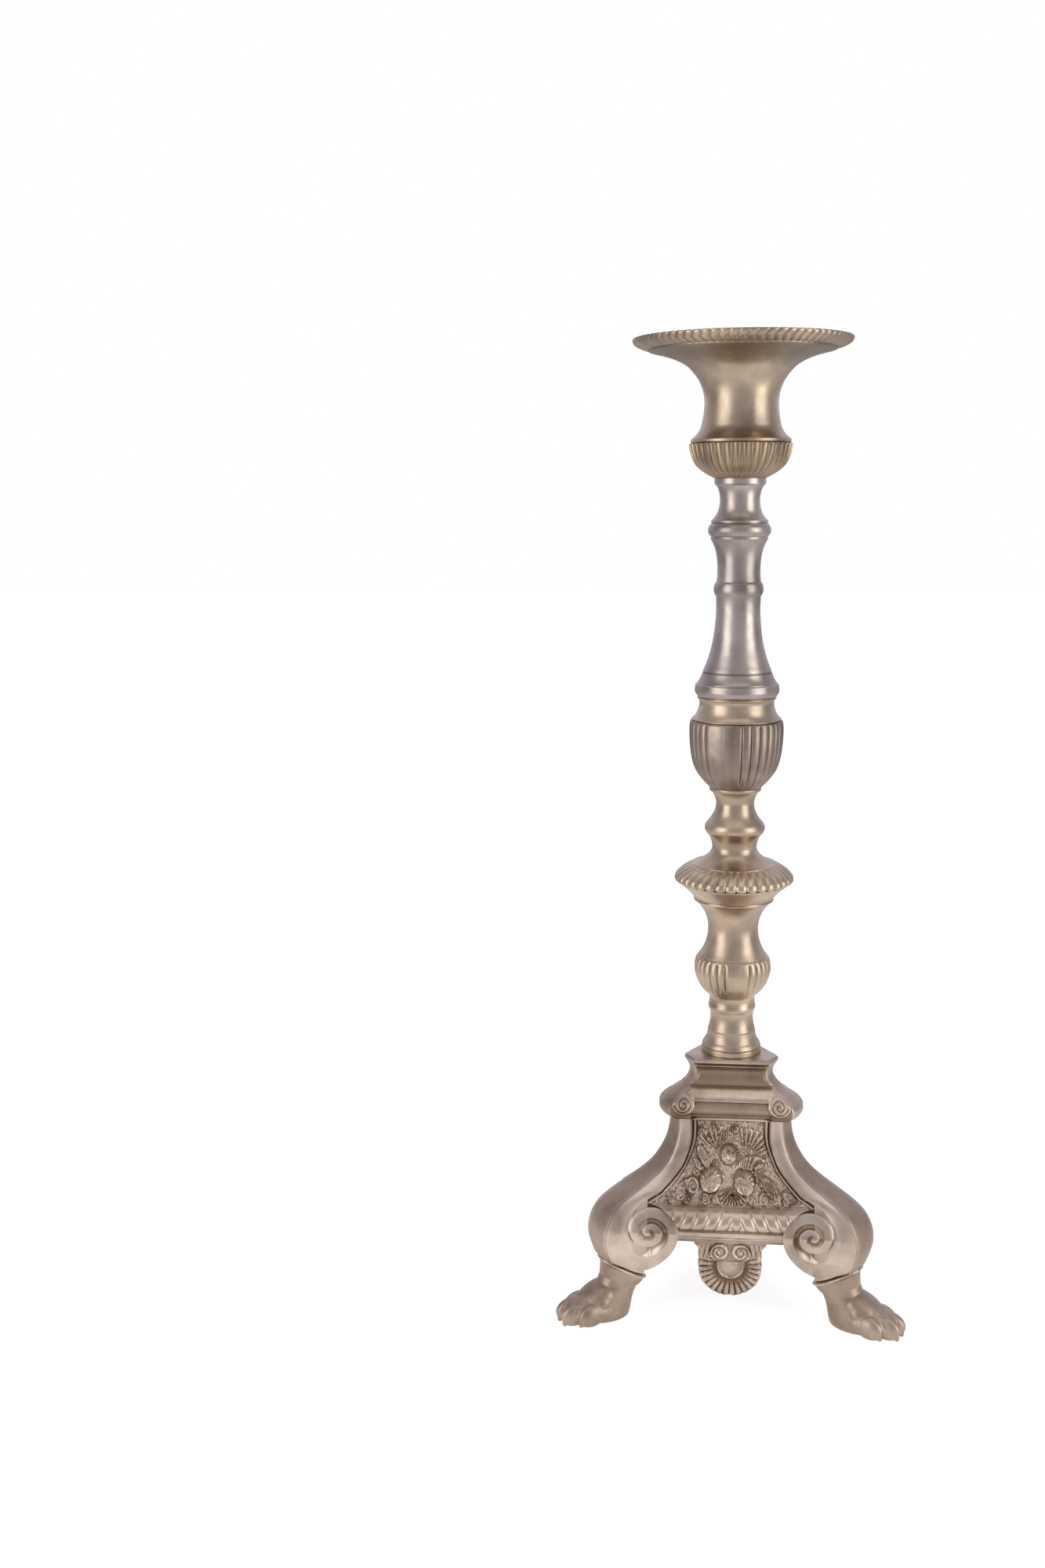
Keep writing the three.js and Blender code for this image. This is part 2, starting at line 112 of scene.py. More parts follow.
def hollow(phase, fillet=0.16):
    """Scooped flutes with flat fillets between them: 0 on a fillet, 1 at a flute's bottom."""
    across = np.abs(2 * (phase % 1.0) - 1) / (1 - fillet)
    return np.sqrt(np.clip(1 - across**2, 0, 1))


def line(x, at, width):
    """A narrow rounded groove or bead across x."""
    return np.exp(-(((x - at) / width) ** 2))


def through(keys):
    """A smooth curve through [height, value] keys that never overshoots them."""
    xs, ys = np.array(keys, float).T
    steps = np.diff(ys) / np.diff(xs)
    slopes = np.concatenate([[steps[0]], (steps[:-1] + steps[1:]) / 2, [steps[-1]]])
    for i, step in enumerate(steps):
        if step == 0:
            slopes[i] = slopes[i + 1] = 0
    flat = np.sign(steps[:-1]) != np.sign(steps[1:])
    slopes[1:-1][flat] = 0

    def value(z):
        z = np.clip(z, xs[0], xs[-1])
        i = np.clip(np.searchsorted(xs, z, side="right") - 1, 0, len(xs) - 2)
        width = xs[i + 1] - xs[i]
        t = (z - xs[i]) / width
        a = (1 + 2 * t) * (1 - t) ** 2 * ys[i] + t * (1 - t) ** 2 * width * slopes[i]
        b = t * t * (3 - 2 * t) * ys[i + 1] + t * t * (t - 1) * width * slopes[i + 1]
        return a + b

    return value


def trace(outline, steps=10):
    """Points of an outline: [r, z] is a line there, [r, z, control_r, control_z] a curve."""
    points = []
    for entry in outline:
        if len(entry) == 2:
            points.append(entry)
            continue
        r0, z0 = points[-1][:2]
        r1, z1, rc, zc = entry
        for k in range(1, steps + 1):
            t = k / steps
            a, b, c = (1 - t) ** 2, 2 * t * (1 - t), t * t
            points.append([a * r0 + b * rc + c * r1, a * z0 + b * zc + c * z1])
    return points


# ---- mesh making

def grid_faces(nu, nv, wrap_u, wrap_v, start=0):
    iu = np.arange(nu if wrap_u else nu - 1)
    iv = np.arange(nv if wrap_v else nv - 1)
    u, v = np.meshgrid(iu, iv, indexing="ij")
    un, vn = (u + 1) % nu, (v + 1) % nv
    quads = np.stack([u * nv + v, un * nv + v, un * nv + vn, u * nv + vn], axis=-1)
    return (quads.reshape(-1, 4) + start).tolist()


def sweep_faces(nu, nv, start=0, flip=False):
    """Faces of nu closed rings of nv points, capped at both ends."""
    faces = grid_faces(nu, nv, False, True, start)
    faces.append([start + j for j in range(nv)])
    faces.append([start + (nu - 1) * nv + j for j in range(nv)][::-1])
    return [face[::-1] for face in faces] if flip else faces


def place(name, data):
    thing = bpy.data.objects.new(name, data)
    bpy.context.scene.collection.objects.link(thing)
    return thing


def make_piece(node, points, faces, finish, wear_and_shade=None, sharp=35, turn=0.0):
    """The fine piece that replaces a CAD node, from points in mm about the column's axis,
    turned about it by turn."""
    name, slot, nodes = "fine_" + node, SLOT.get(finish, finish), (node,)
    spin = Matrix.Rotation(turn, 3, "Z")
    placed = np.asarray(points, float).reshape(-1, 3) @ np.array(spin).T * MM + np.array(AXIS)
    mesh = bpy.data.meshes.new(name)
    mesh.from_pydata(placed.tolist(), [], faces)
    if wear_and_shade is not None:
        layer = mesh.attributes.new("wear_and_shade", "FLOAT", "POINT")
        layer.data.foreach_set("value", np.asarray(wear_and_shade, np.float32).ravel())
    mesh.validate()
    mesh.update()
    mesh.shade_smooth()
    mesh.set_sharp_from_angle(angle=math.radians(sharp))
    piece = place(name, mesh)
    mesh.materials.append(FINISH[finish])
    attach(piece, "root")
    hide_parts(*nodes)


def turned_piece(name, outer, cavity, finish, relief, sides=144, steps=10):
    """A hollow turned casting. relief(theta, r, z) gives the outer skin's inward cut in mm and
    how worn it is; outer and cavity are outlines as in trace()."""
    bottom, top = outer[0][1], outer[-1][1]
    skin = trace(outer, steps)
    crown = [[SPIGOT_R, top], [SPIGOT_R, top + SPIGOT_H], [BORE, top + SPIGOT_H]]
    inside = [[BORE, cavity[0][1]], *trace(cavity, steps), [BORE, cavity[-1][1]]]
    foot = [[BORE, bottom + SOCKET_D], [SOCKET_R, bottom + SOCKET_D], [SOCKET_R, bottom]]
    outline = np.array(skin + crown + inside + foot)
    revolve(name, outline, len(skin), finish, relief, sides)


def round_angles(sides):
    return np.arange(sides) * 2 * math.pi / sides


def revolve(name, outline, skin_count, finish, relief=None, sides=144, closed=True):
    """An outline of [r, z] turned round the axis; relief shapes its first skin_count points."""
    theta = round_angles(sides)
    t, r = np.meshgrid(theta, outline[:, 0], indexing="ij")
    _, z = np.meshgrid(theta, outline[:, 1], indexing="ij")
    wear_and_shade = np.full(r.shape, WORN)
    if relief is not None:
        along = np.gradient(outline[:skin_count], axis=0)
        normal = np.stack([along[:, 1], -along[:, 0]], axis=1)
        normal /= np.linalg.norm(normal, axis=1, keepdims=True) + 1e-9
        cut, worn_and_shaded = relief(t[:, :skin_count], r[:, :skin_count], z[:, :skin_count])
        r[:, :skin_count] -= cut * normal[:, 0]
        z[:, :skin_count] -= cut * normal[:, 1]
        wear_and_shade[:, :skin_count] = worn_and_shaded
    points = np.stack([r * np.cos(t), r * np.sin(t), z], axis=-1)
    faces = grid_faces(sides, len(outline), True, closed)
    make_piece(name, points, faces, finish, wear_and_shade)


# ---- materials

def node_graph(name):
    material = bpy.data.materials.new(name)
    material.use_nodes = True
    tree = material.node_tree
    return material, tree, tree.nodes["Principled BSDF"]


def fill(node, values):
    """Set a shader node's inputs and properties by name."""
    for key, value in values.items():
        if key in node.inputs:
            node.inputs[key].default_value = value
        else:
            setattr(node, key, value)
    return node


def add(tree, kind, **values):
    return fill(tree.nodes.new(kind), values)


def ramp(tree, source, stops):
    node = tree.nodes.new("ShaderNodeValToRGB")
    elements = node.color_ramp.elements
    while len(elements) < len(stops):
        elements.new(0.5)
    for element, (position, colour) in zip(elements, stops):
        element.position = position
        element.color = (*colour, 1) if len(colour) == 3 else colour
    tree.links.new(source, node.inputs["Fac"])
    return node.outputs["Color"]


def grey(value):
    return (value, value, value)


def mix(tree, factor, a, b, mode="MIX"):
    node = tree.nodes.new("ShaderNodeMix")
    node.data_type = "RGBA"
    node.blend_type = mode
    for socket, value in ((node.inputs[0], factor), (node.inputs[6], a), (node.inputs[7], b)):
        if isinstance(value, (int, float)):
            socket.default_value = value
        elif isinstance(value, tuple):
            socket.default_value = (*value, 1)
        else:
            tree.links.new(value, socket)
    return node.outputs[2]


def aged_brass(name, light, mid, dark, grime_and_shade, roughness, cast=0.0, bands=0.0):
    """Patinated brass: cloudy colour, darker hollows and painted shade where the wear attribute is
    low, rubbed high places, fine scratches.
    cast adds the grain of an unturned casting, bands the faint rings a lathe leaves."""
    material, tree, shader = node_graph(name)
    link = tree.links.new
    coords = add(tree, "ShaderNodeTexCoord").outputs["Object"]
    clouds = add(tree, "ShaderNodeTexNoise", Scale=24.0, Detail=8.0, Roughness=0.62)
    fine = add(tree, "ShaderNodeTexNoise", Scale=420.0, Detail=5.0, Roughness=0.6)
    spots = add(tree, "ShaderNodeTexNoise", Scale=95.0, Detail=3.0, Roughness=0.5)
    rings = add(tree, "ShaderNodeMapping", Scale=(6.0, 6.0, 900.0))
    ring_noise = add(tree, "ShaderNodeTexNoise", Scale=1.0, Detail=2.0)
    for texture in (clouds, fine, spots):
        link(coords, texture.inputs["Vector"])
    link(coords, rings.inputs["Vector"])
    link(rings.outputs["Vector"], ring_noise.inputs["Vector"])
    wear_and_shade = add(tree, "ShaderNodeAttribute", attribute_name="wear_and_shade").outputs["Fac"]

    colour = ramp(tree, clouds.outputs["Fac"], [(0.36, dark), (0.5, mid), (0.62, light)])
    blotch = ramp(tree, spots.outputs["Fac"], [(0.45, grey(0.0)), (0.70, grey(0.6))])
    colour = mix(tree, blotch, colour, mid)
    # Low wear mixes in the darkest colour: dirt in hollows, and painted shade where a piece sets its
    # wear low for shade.
    hollows_and_shade = ramp(tree, wear_and_shade, [(0.0, grey(1.0)), (0.45, grey(0.0))])
    colour = mix(tree, hollows_and_shade, colour, grime_and_shade)
    rubbed = ramp(tree, wear_and_shade, [(0.7, grey(0.0)), (1.0, grey(0.55))])
    colour = mix(tree, rubbed, colour, light)
    link(colour, shader.inputs["Base Color"])
    shader.inputs["Metallic"].default_value = 1.0

    rough = fill(tree.nodes.new("ShaderNodeMapRange"), {
        "From Min": 0.3, "From Max": 0.7, "To Min": roughness - 0.05, "To Max": roughness + 0.07})
    link(spots.outputs["Fac"], rough.inputs["Value"])
    dirty = add(tree, "ShaderNodeMath", operation="MULTIPLY_ADD")
    link(hollows_and_shade, dirty.inputs[0])
    dirty.inputs[1].default_value = 0.18
    link(rough.outputs["Result"], dirty.inputs[2])
    link(dirty.outputs[0], shader.inputs["Roughness"])

    grain = add(tree, "ShaderNodeBump", Strength=0.10 + cast, Distance=0.0002)
    link(fine.outputs["Fac"], grain.inputs["Height"])
    normal = grain.outputs["Normal"]
    if bands:
        lathe_marks = add(tree, "ShaderNodeBump", Strength=bands, Distance=0.00015)
        link(ring_noise.outputs["Fac"], lathe_marks.inputs["Height"])
        link(normal, lathe_marks.inputs["Normal"])
        normal = lathe_marks.outputs["Normal"]
    link(normal, shader.inputs["Normal"])
    return material


def dull_steel(name):
    material, tree, shader = node_graph(name)
    link = tree.links.new
    coords = add(tree, "ShaderNodeTexCoord").outputs["Object"]
    streaks = add(tree, "ShaderNodeTexNoise", Scale=180.0, Detail=4.0)
    link(coords, streaks.inputs["Vector"])
    colour = ramp(tree, streaks.outputs["Fac"],
                  [(0.3, (0.16, 0.15, 0.14)), (0.7, (0.36, 0.35, 0.33))])
    link(colour, shader.inputs["Base Color"])
    rough = ramp(tree, streaks.outputs["Fac"], [(0.3, grey(0.5)), (0.7, grey(0.35))])
    link(rough, shader.inputs["Roughness"])
    shader.inputs["Metallic"].default_value = 1.0
    bump = add(tree, "ShaderNodeBump", Strength=0.25, Distance=0.0002)
    link(streaks.outputs["Fac"], bump.inputs["Height"])
    link(bump.outputs["Normal"], shader.inputs["Normal"])
    return material


FINISH = {
    "golden_brass": aged_brass(
        "golden_brass", (0.62, 0.495, 0.345), (0.49, 0.39, 0.28), (0.33, 0.26, 0.20),
        (0.12, 0.075, 0.045), 0.33, bands=0.12),
    "grey_brass": aged_brass(
        "grey_brass", (0.53, 0.465, 0.41), (0.42, 0.365, 0.325), (0.28, 0.24, 0.21),
        (0.09, 0.065, 0.045), 0.33, bands=0.12),
    "base_brass": aged_brass(
        "base_brass", (0.72, 0.605, 0.485), (0.53, 0.43, 0.34), (0.31, 0.245, 0.185),
        (0.20, 0.125, 0.075), 0.35, cast=0.12),
    "brown_brass": aged_brass(
        "brown_brass", (0.47, 0.365, 0.245), (0.39, 0.30, 0.20), (0.25, 0.19, 0.13),
        (0.10, 0.065, 0.04), 0.34, bands=0.1),
    "dark_brass": aged_brass(
        "dark_brass", (0.40, 0.325, 0.26), (0.30, 0.24, 0.19), (0.19, 0.15, 0.12),
        (0.08, 0.055, 0.035), 0.36, bands=0.08),
    "steel": dull_steel("steel"),
}
# Two finishes are darker shades of one of the record's material slots.
SLOT = {"dark_brass": "grey_brass", "brown_brass": "grey_brass"}


# ---- column

def grooves(*cuts):
    """Turned lines: each cut is (height, width, depth)."""
    def relief(theta, r, z):
        cut = np.zeros_like(r)
        for at, width, depth in cuts:
            cut += depth * line(z, at, width)
        return cut, np.clip(0.62 - cut * 1.4, 0, 1)
    return relief


def worn_patch(theta, start, end):
    """1 where flutes are worn: between two azimuths in degrees from the front, to the right."""
    degrees = np.degrees(theta) + 90
    degrees = (degrees + 180) % 360 - 180
    return between(degrees, start - 3, start + 3, end - 3, end + 3)


def fluting(count, patch, ends, depth, rubbed, tones):
    """Round flutes between the heights in ends, rubbed down over a patch of azimuths; tones are
    the wear of a flute's bottom, what a crest and the patch add to it, and the most it gets."""
    ground, crest, bare, most = tones

    def relief(theta, r, z):
        cut_away = worn_patch(theta, *patch)
        wave = lobe(turns(theta, count))
        deep = depth * between(z, *ends) * (1 - rubbed * cut_away)
        return deep * (1 - wave), np.clip(ground + crest * wave + bare * cut_away, 0, most)
    return relief


def stem_foot():
    outer = [
        [19.0, Z_FOOT], [19.3, Z_FOOT + 0.4], [19.25, 169.8], [19.2, 170.2],
        [17.4, 174.6, 19, 172.8], [15.7, 179, 16, 176.8], [15.5, 181.5], [13.8, 190.5, 14, 186],
        [14.9, 195.8, 13.9, 194], [14.7, 199.8, 15.8, 197.6], [14.7, 203.2],
        [17, Z_KNOP, 14.9, 205.5],
    ]
    relief = grooves((171.0, 0.22, 0.5), (180.2, 0.2, 0.45), (181.8, 0.2, 0.3))
    turned_piece("stem_foot", outer, [[9.5, 202], [9.5, 173]], "golden_brass", relief,
                 steps=22)


def fluted_knop():
    flutes = 28
    relief = fluting(flutes, (-4, 24), (Z_KNOP + 1, Z_KNOP + 6, 228.5, 231.5), 1.25, 0.94,
                     (0.28, 0.55, 0.25, 0.85))
    outer = [[17, Z_KNOP], [24.8, 222.5, 23.2, 212], [22.4, 231.6, 24.8, 229.5],
             [21.9, 231.7], [21.9, Z_LOWER_BELL]]
    turned_piece("fluted_knop", outer, [[16, 228], [20, 222], [13, 213]], "golden_brass",
                 relief, sides=flutes * 14)


def lower_bell():
    outer = [
        [21.6, Z_LOWER_BELL], [16.1, 250, 16.1, 240.5], [24.0, 267.6, 16.3, 260.3],
        [25.0, 268.3, 24.6, 267.9], [25.6, 269.4, 25.8, 268.6], [25.2, 270.0],
        [34.6, 279.4, 28.2, 274.6], [35.2, Z_KNOP_STEM],
    ]
    turned_piece("lower_bell", outer, [[22, 276], [12, 256], [12, 239]], "golden_brass",
                 grooves())


def knop_stem():
    petals = 34
    band_inner, band_outer = 27.2, 38.1

    def relief(theta, r, z):
        on_flange = smoothstep(band_inner - 0.2, band_inner + 0.5, r) * (z < 296)
        lean = (r - band_inner) / (band_outer - band_inner)
        wave = lobe(turns(theta, petals) + 0.42 * lean)
        taper = 0.35 + 0.65 * smoothstep(0, 1, lean)
        cut = 1.5 * taper * (1 - wave) * on_flange
        lip = 0.55 * line(r, band_inner - 0.6, 0.45) * (z > 288) * (z < 296)
        turned = 0.45 * line(z, 311.4, 0.25) + 0.45 * line(z, 320.0, 0.25)
        worn_and_shaded = 0.62 - 0.35 * on_flange * (1 - wave) + 0.2 * on_flange * wave - turned
        return cut - lip + turned, np.clip(worn_and_shaded, 0, 1)

    outer = [
        [35, Z_KNOP_STEM], [37.2, 281.2], [38.1, 282.6, 38, 281.6], [36.9, 286, 38.2, 284.6],
        [27.2, 292.3, 33.2, 290.4], [21.5, 295, 24, 293.6], [14.2, 303, 15, 298.5],
        [16.6, 311, 14.4, 308],
        [17.2, 311.8], [17.9, 319.6, 20.9, 315.6], [12.1, 331.5, 12.5, 325.5],
        [15.6, 339.9, 12.4, 337.0], [16.3, 340.3], [16.5, 341], [16.5, 342.1], [16.2, Z_CUP],
    ]
    turned_piece("knop_stem", outer, [[8.6, 338], [8.6, 296], [14, 287]], "golden_brass",
                 relief, sides=petals * 14, steps=14)


def fluted_cup():
    flutes = 30
    relief = fluting(flutes, (-34, -3), (Z_CUP + 1, Z_CUP + 7, 384.2, 384.9), 1.15, 0.95,
                     (0.3, 0.5, 0.2, 0.8))
    outer = [
        [16.6, Z_CUP], [25.6, 353.5, 22.5, 348], [29.8, 377, 29.4, 361], [29.5, 384, 29.9, 381],
        [29.2, 384.9], [28.6, Z_COLLAR],
    ]
    turned_piece("fluted_cup", outer, [[24.5, 381], [24.5, 362], [14, 349]], "dark_brass",
                 relief, sides=flutes * 14, steps=14)


def shoulder_collar():
    outer = [
        [27.6, Z_COLLAR], [28.2, 385.9], [28.2, 386.6, 28.6, 386.2], [27.4, 387.2, 27.9, 387.2],
        [23.5, 396, 24.4, 390.0], [24.3, 399.0, 23.5, 398.0], [24.8, 399.3],
        [24.9, 400.1, 25.2, 399.7], [24.4, Z_STEM],
    ]
    turned_piece("shoulder_collar", outer, [[19, 396.5], [19, 391.5]], "golden_brass",
                 grooves())


def upper_stem():
    outer = [
        [24.4, Z_STEM], [26.7, 404.6, 26.4, 402.0], [26.2, 408.2], [25.2, 408.8],
        [25.0, 409.4], [22.1, 415.0, 23.2, 412], [22.1, 415.9], [13.8, 456, 14.4, 431],
        [14, 463.4], [14.7, 464.2], [14.6, 471.8, 16.4, 468.2], [13.9, 472.6],
        [14.2, 489.8, 12.7, 481], [17.9, 499, 15.2, 495], [17.8, 500.4], [18.3, 501.0],
        [18.2, 507.8, 20.9, 504.6], [17.3, 508.6], [17.8, 509.2], [17.6, 510.2],
        [12.4, 523, 12.4, 514.6], [15.4, 532.2, 12.6, 530], [15.9, 532.5], [16.0, 535.4],
        [15.7, Z_TOP_CUP],
    ]
    relief = grooves((415.9, 0.22, 0.4), (464.0, 0.25, 0.35), (472.4, 0.25, 0.35),
                     (500.6, 0.22, 0.4))
    turned_piece("upper_stem", outer, [[8.6, 531], [8.6, 440], [17, 407]], "grey_brass",
                 relief, steps=18)


def top_gadroon_cup():
    flutes = 40

    def relief(theta, r, z):
        fade = smoothstep(Z_TOP_CUP + 0.6, Z_TOP_CUP + 3, z) * (z < Z_BELL - 0.05)
        scoop = hollow(turns(theta, flutes), 0.22)
        return 1.15 * scoop * fade, np.clip(0.78 - 0.5 * scoop, 0, 1)

    outer = [[16.4, Z_TOP_CUP], [17.4, 536.9], [27.8, 544.2, 23.6, 539.6], [31.9, 556, 31.0, 548.6],
             [31.9, 556.7], [31.4, Z_BELL]]
    turned_piece("top_gadroon_cup", outer, [[27, 553], [23, 546], [14, 542]], "brown_brass",
                 relief, sides=flutes * 12)


def drip_pan_bell():
    lobes = 74
    band_inner = 57.6
    lip = 64.6

    def relief(theta, r, z):
        under = smoothstep(band_inner - 0.15, band_inner + 0.25, r)
        lean = (r - band_inner) / (67.2 - band_inner)
        wave = lobe(turns(theta, lobes) + 0.55 * lean - 0.5 * smoothstep(614.5, 619, z))
        end = 1 - smoothstep(619.2, 619.9, z)
        cut = 0.95 * (1 - wave) * under * (0.35 + 0.65 * end)
        marks = 0.35 * line(z, 569.4, 0.16)
        # Painted shade: the underside of the pan, from 592 to 611 mm, is painted darker.
        worn_and_shaded = 0.62 - 0.40 * smoothstep(592, 611, z) * (1 - under) - marks
        worn_and_shaded -= under * (0.44 - 0.24 * wave) + 0.2 * (1 - smoothstep(559.8, 565, z))
        return cut + marks, np.clip(worn_and_shaded, 0, 1)

    outer = [
        [SOCKET_R, Z_BELL], [30.2, Z_BELL], [30.9, 557.8], [30.9, 559.3], [30.5, 559.8],
        [24.3, 569, 25.2, 563.6], [22.7, 582, 22.9, 574.5], [30.4, 600.6, 23.2, 593],
        [56.0, 612.2, 36, 608], [57.0, 612.5], [57.6, 613.0], [57.6, 613.5],
        [63.6, 615.2, 60.6, 613.6], [67.2, 618.8, 66.6, 616.4], [67.2, 619.4], [66.8, Z_RIM],
    ]
    skin = trace(outer, 14)
    inside = trace([
        [lip, Z_RIM], [lip - 0.8, 619.2], [56, 616.0, 61, 617.4], [27.6, 602.6, 36, 612],
        [19.9, 583, 20.4, 595], [20, Z_SEAT + 1], [19, Z_SEAT], [BORE, Z_SEAT],
        [BORE, Z_BELL + SOCKET_D], [SOCKET_R, Z_BELL + SOCKET_D],
    ], 14)
    revolve("drip_pan_bell", np.array(skin + inside), len(skin), "golden_brass", relief,
            lobes * 12)


# ---- rod and fittings

def plain_ring(name, radius, z0, z1, bevel=0.3):
    outline = np.array([[BORE, z0], [radius - bevel, z0], [radius, z0 + bevel],
                        [radius, z1 - bevel], [radius - bevel, z1], [BORE, z1]])
    revolve(name, outline, 0, "steel", None, 64)


def hex_nut(name):
    low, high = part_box(name)
    z0, z1 = low.z / MM, high.z / MM
    across = (high.y - low.y) / MM / 2
    sides = 96
    theta = round_angles(sides)
    corner = (theta % (math.pi / 3)) - math.pi / 6
    hexagon = across * math.cos(math.pi / 6) / np.cos(corner)
    chamfer = np.minimum(hexagon, across * 0.93)
    rows = [(BORE + 0.4, z0), (None, z0), (hexagon, z0 + 0.9), (hexagon, z1 - 0.9), (None, z1),
            (BORE + 0.4, z1), (BORE, z1 - 0.5), (BORE, z0 + 0.5)]
    points = np.zeros((sides, len(rows), 3))
    for j, (radius, z) in enumerate(rows):
        reach = chamfer if radius is None else radius
        points[:, j, 0] = reach * np.cos(theta)
        points[:, j, 1] = reach * np.sin(theta)
        points[:, j, 2] = z
    faces = grid_faces(sides, len(rows), True, True)
    make_piece(name, points, faces, "steel", sharp=25)


def screw_thread(name, z0, z1, thread_from, thread_to):
    """The tie rod, with a cut thread near its ends."""
    pitch = 1.5
    steps = int((z1 - z0) * 4)
    z = np.linspace(z0, z1, steps)
    sides = 40
    t, h = np.meshgrid(round_angles(sides), z, indexing="ij")
    threaded = (h < thread_from) | (h > thread_to)
    wave = np.abs(((h / pitch - t / (2 * math.pi)) % 1.0) * 2 - 1)
    r = 4.98 - 0.75 * wave * threaded
    r[:, 0] = r[:, -1] = 0.01
    r[:, 1] = r[:, -2] = 4.2
    points = np.stack([r * np.cos(t), r * np.sin(t), h], axis=-1)
    make_piece(name, points, grid_faces(sides, steps, True, False), "steel", sharp=60)


def fittings():
    for name in ("top_washer", "bottom_washer"):
        low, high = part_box(name)
        plain_ring(name, (high.x - low.x) / MM / 2, low.z / MM, high.z / MM)
    hex_nut("top_nut")
    hex_nut("bottom_nut")
    low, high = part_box("tie_rod")
    screw_thread("tie_rod", low.z / MM, high.z / MM, Z_PLINTH - 5, Z_SEAT - 4)
    low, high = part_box("pricket_spike")
    foot, tip = low.z / MM, high.z / MM
    outline = np.array(trace([
        [0.01, foot + 6.4], [5.3, foot + 6.4], [5.3, foot], [7.6, foot], [8, foot + 0.4],
        [8, foot + 2.2], [7.2, foot + 3], [6.6, foot + 4.2, 6.8, foot + 3.4],
        [5.2, foot + 9, 5.8, foot + 5.6], [0.6, tip - 1.0, 2.6, foot + 22], [0.01, tip],
    ]))
    revolve("pricket_spike", outline, 0, "golden_brass", None, 64, closed=False)


for build in (stem_foot, fluted_knop, lower_bell, knop_stem, fluted_cup, shoulder_collar,
              upper_stem, top_gadroon_cup, drip_pan_bell, fittings):
    build()

# ---- base outline

# The base is a hexagon with three long and three short sides at every height: keys are
# [height, axis to short side], [height, half length of a short side], [height, strip width].
CORNER = through([
    [38, 93], [48, 96.5], [55, 98], [62, 97.5], [70, 94.5], [76, 90], [81, 83],
    [86, 73.5], [92, 62], [98, 53.5], [107, 46.5], [116, 42.8], [131, 41],
])
BAND = through([[38, 13.5], [62, 13.5], [80, 11.8], [98, 9], [116, 7.4], [131, 6.5]])
STRIP = through([[80, 17], [88, 13.8], [93, 11.8], [102, 9.8], [113, 8.8], [131, 7.4]])


def face_at(z):
    return CORNER(z) / 2 + BAND(z) * SIN60


def ridge_at(z):
    return CORNER(z) * SIN60 - BAND(z) / 2


VOLUTE_X, VOLUTE_Z, VOLUTE_PLANE, VOLUTE_DEPTH = 51.0, 64.4, 60.6, 11.0
ANKLE_R, ANKLE_LEVEL, ANKLE_SLOPE, ANKLE_GAP = 80.0, 33.0, 0.57, 0.3
LEG_TOP = 130.6
SMALL_EYE = (30.6, 139.4)  # x and height of a plinth volute's eye
LEG_TURNS = {"front_left": -150, "front_right": -30, "rear": 90}
PANEL_TURNS = {"front": 0, "rear_right": 120, "rear_left": 240}


def ankle_joint(r):
    """Height of the slanting joint between leg and paw."""
    return ANKLE_LEVEL + ANKLE_SLOPE * (r - ANKLE_R)


def side_to_leg(x, depth, z):
    """From a long side's x (towards the leg) and depth to the leg's frame, leg along +x."""
    return x * SIN60 + depth * 0.5, depth * SIN60 - x * 0.5, z


def base_piece(name, points, faces, wear_and_shade, sharp, degrees=0):
    make_piece(name, points, faces, "base_brass", wear_and_shade, sharp, math.radians(degrees))


# ---- plinth

def spiral_height(dx, dz, radius, shrink, rise):
    """A small snail: a convex ribbon winding in to a round eye."""
    r = np.hypot(dx, dz) + 1e-6
    turn = np.arctan2(dz, dx) / (2 * math.pi)
    phase = np.log(radius / r) / math.log(shrink) + turn
    across = phase - np.floor(phase)
    ribbon = np.sin(math.pi * np.clip(across * 1.12, 0, 1)) ** 0.7
    eye = np.exp(-((r / (radius * 0.2)) ** 2))
    inside = 1 - smoothstep(radius * 0.94, radius * 1.02, r)
    return inside, rise * np.maximum(ribbon * (0.45 + 0.55 * np.clip(r / radius, 0, 1)), eye)


def small_volute(dx, dz, radius):
    """Domed disc with one spiral groove: its outline, height and the groove alone."""
    r = np.hypot(dx, dz) + 1e-6
    turn = np.arctan2(dz, dx) / (2 * math.pi) + 0.5
    inside = 1 - smoothstep(radius * 0.96, radius * 1.03, r)
    dome = np.sqrt(np.clip(1 - (r / radius) ** 2, 0, 1))
    groove = 0 * r
    for reach in (0.78, 0.40):
        track = radius * (reach - 0.38 * turn)
        groove = np.maximum(groove, line(r, track, 0.5) * (track > radius * 0.06))
    return inside, dome, groove * inside


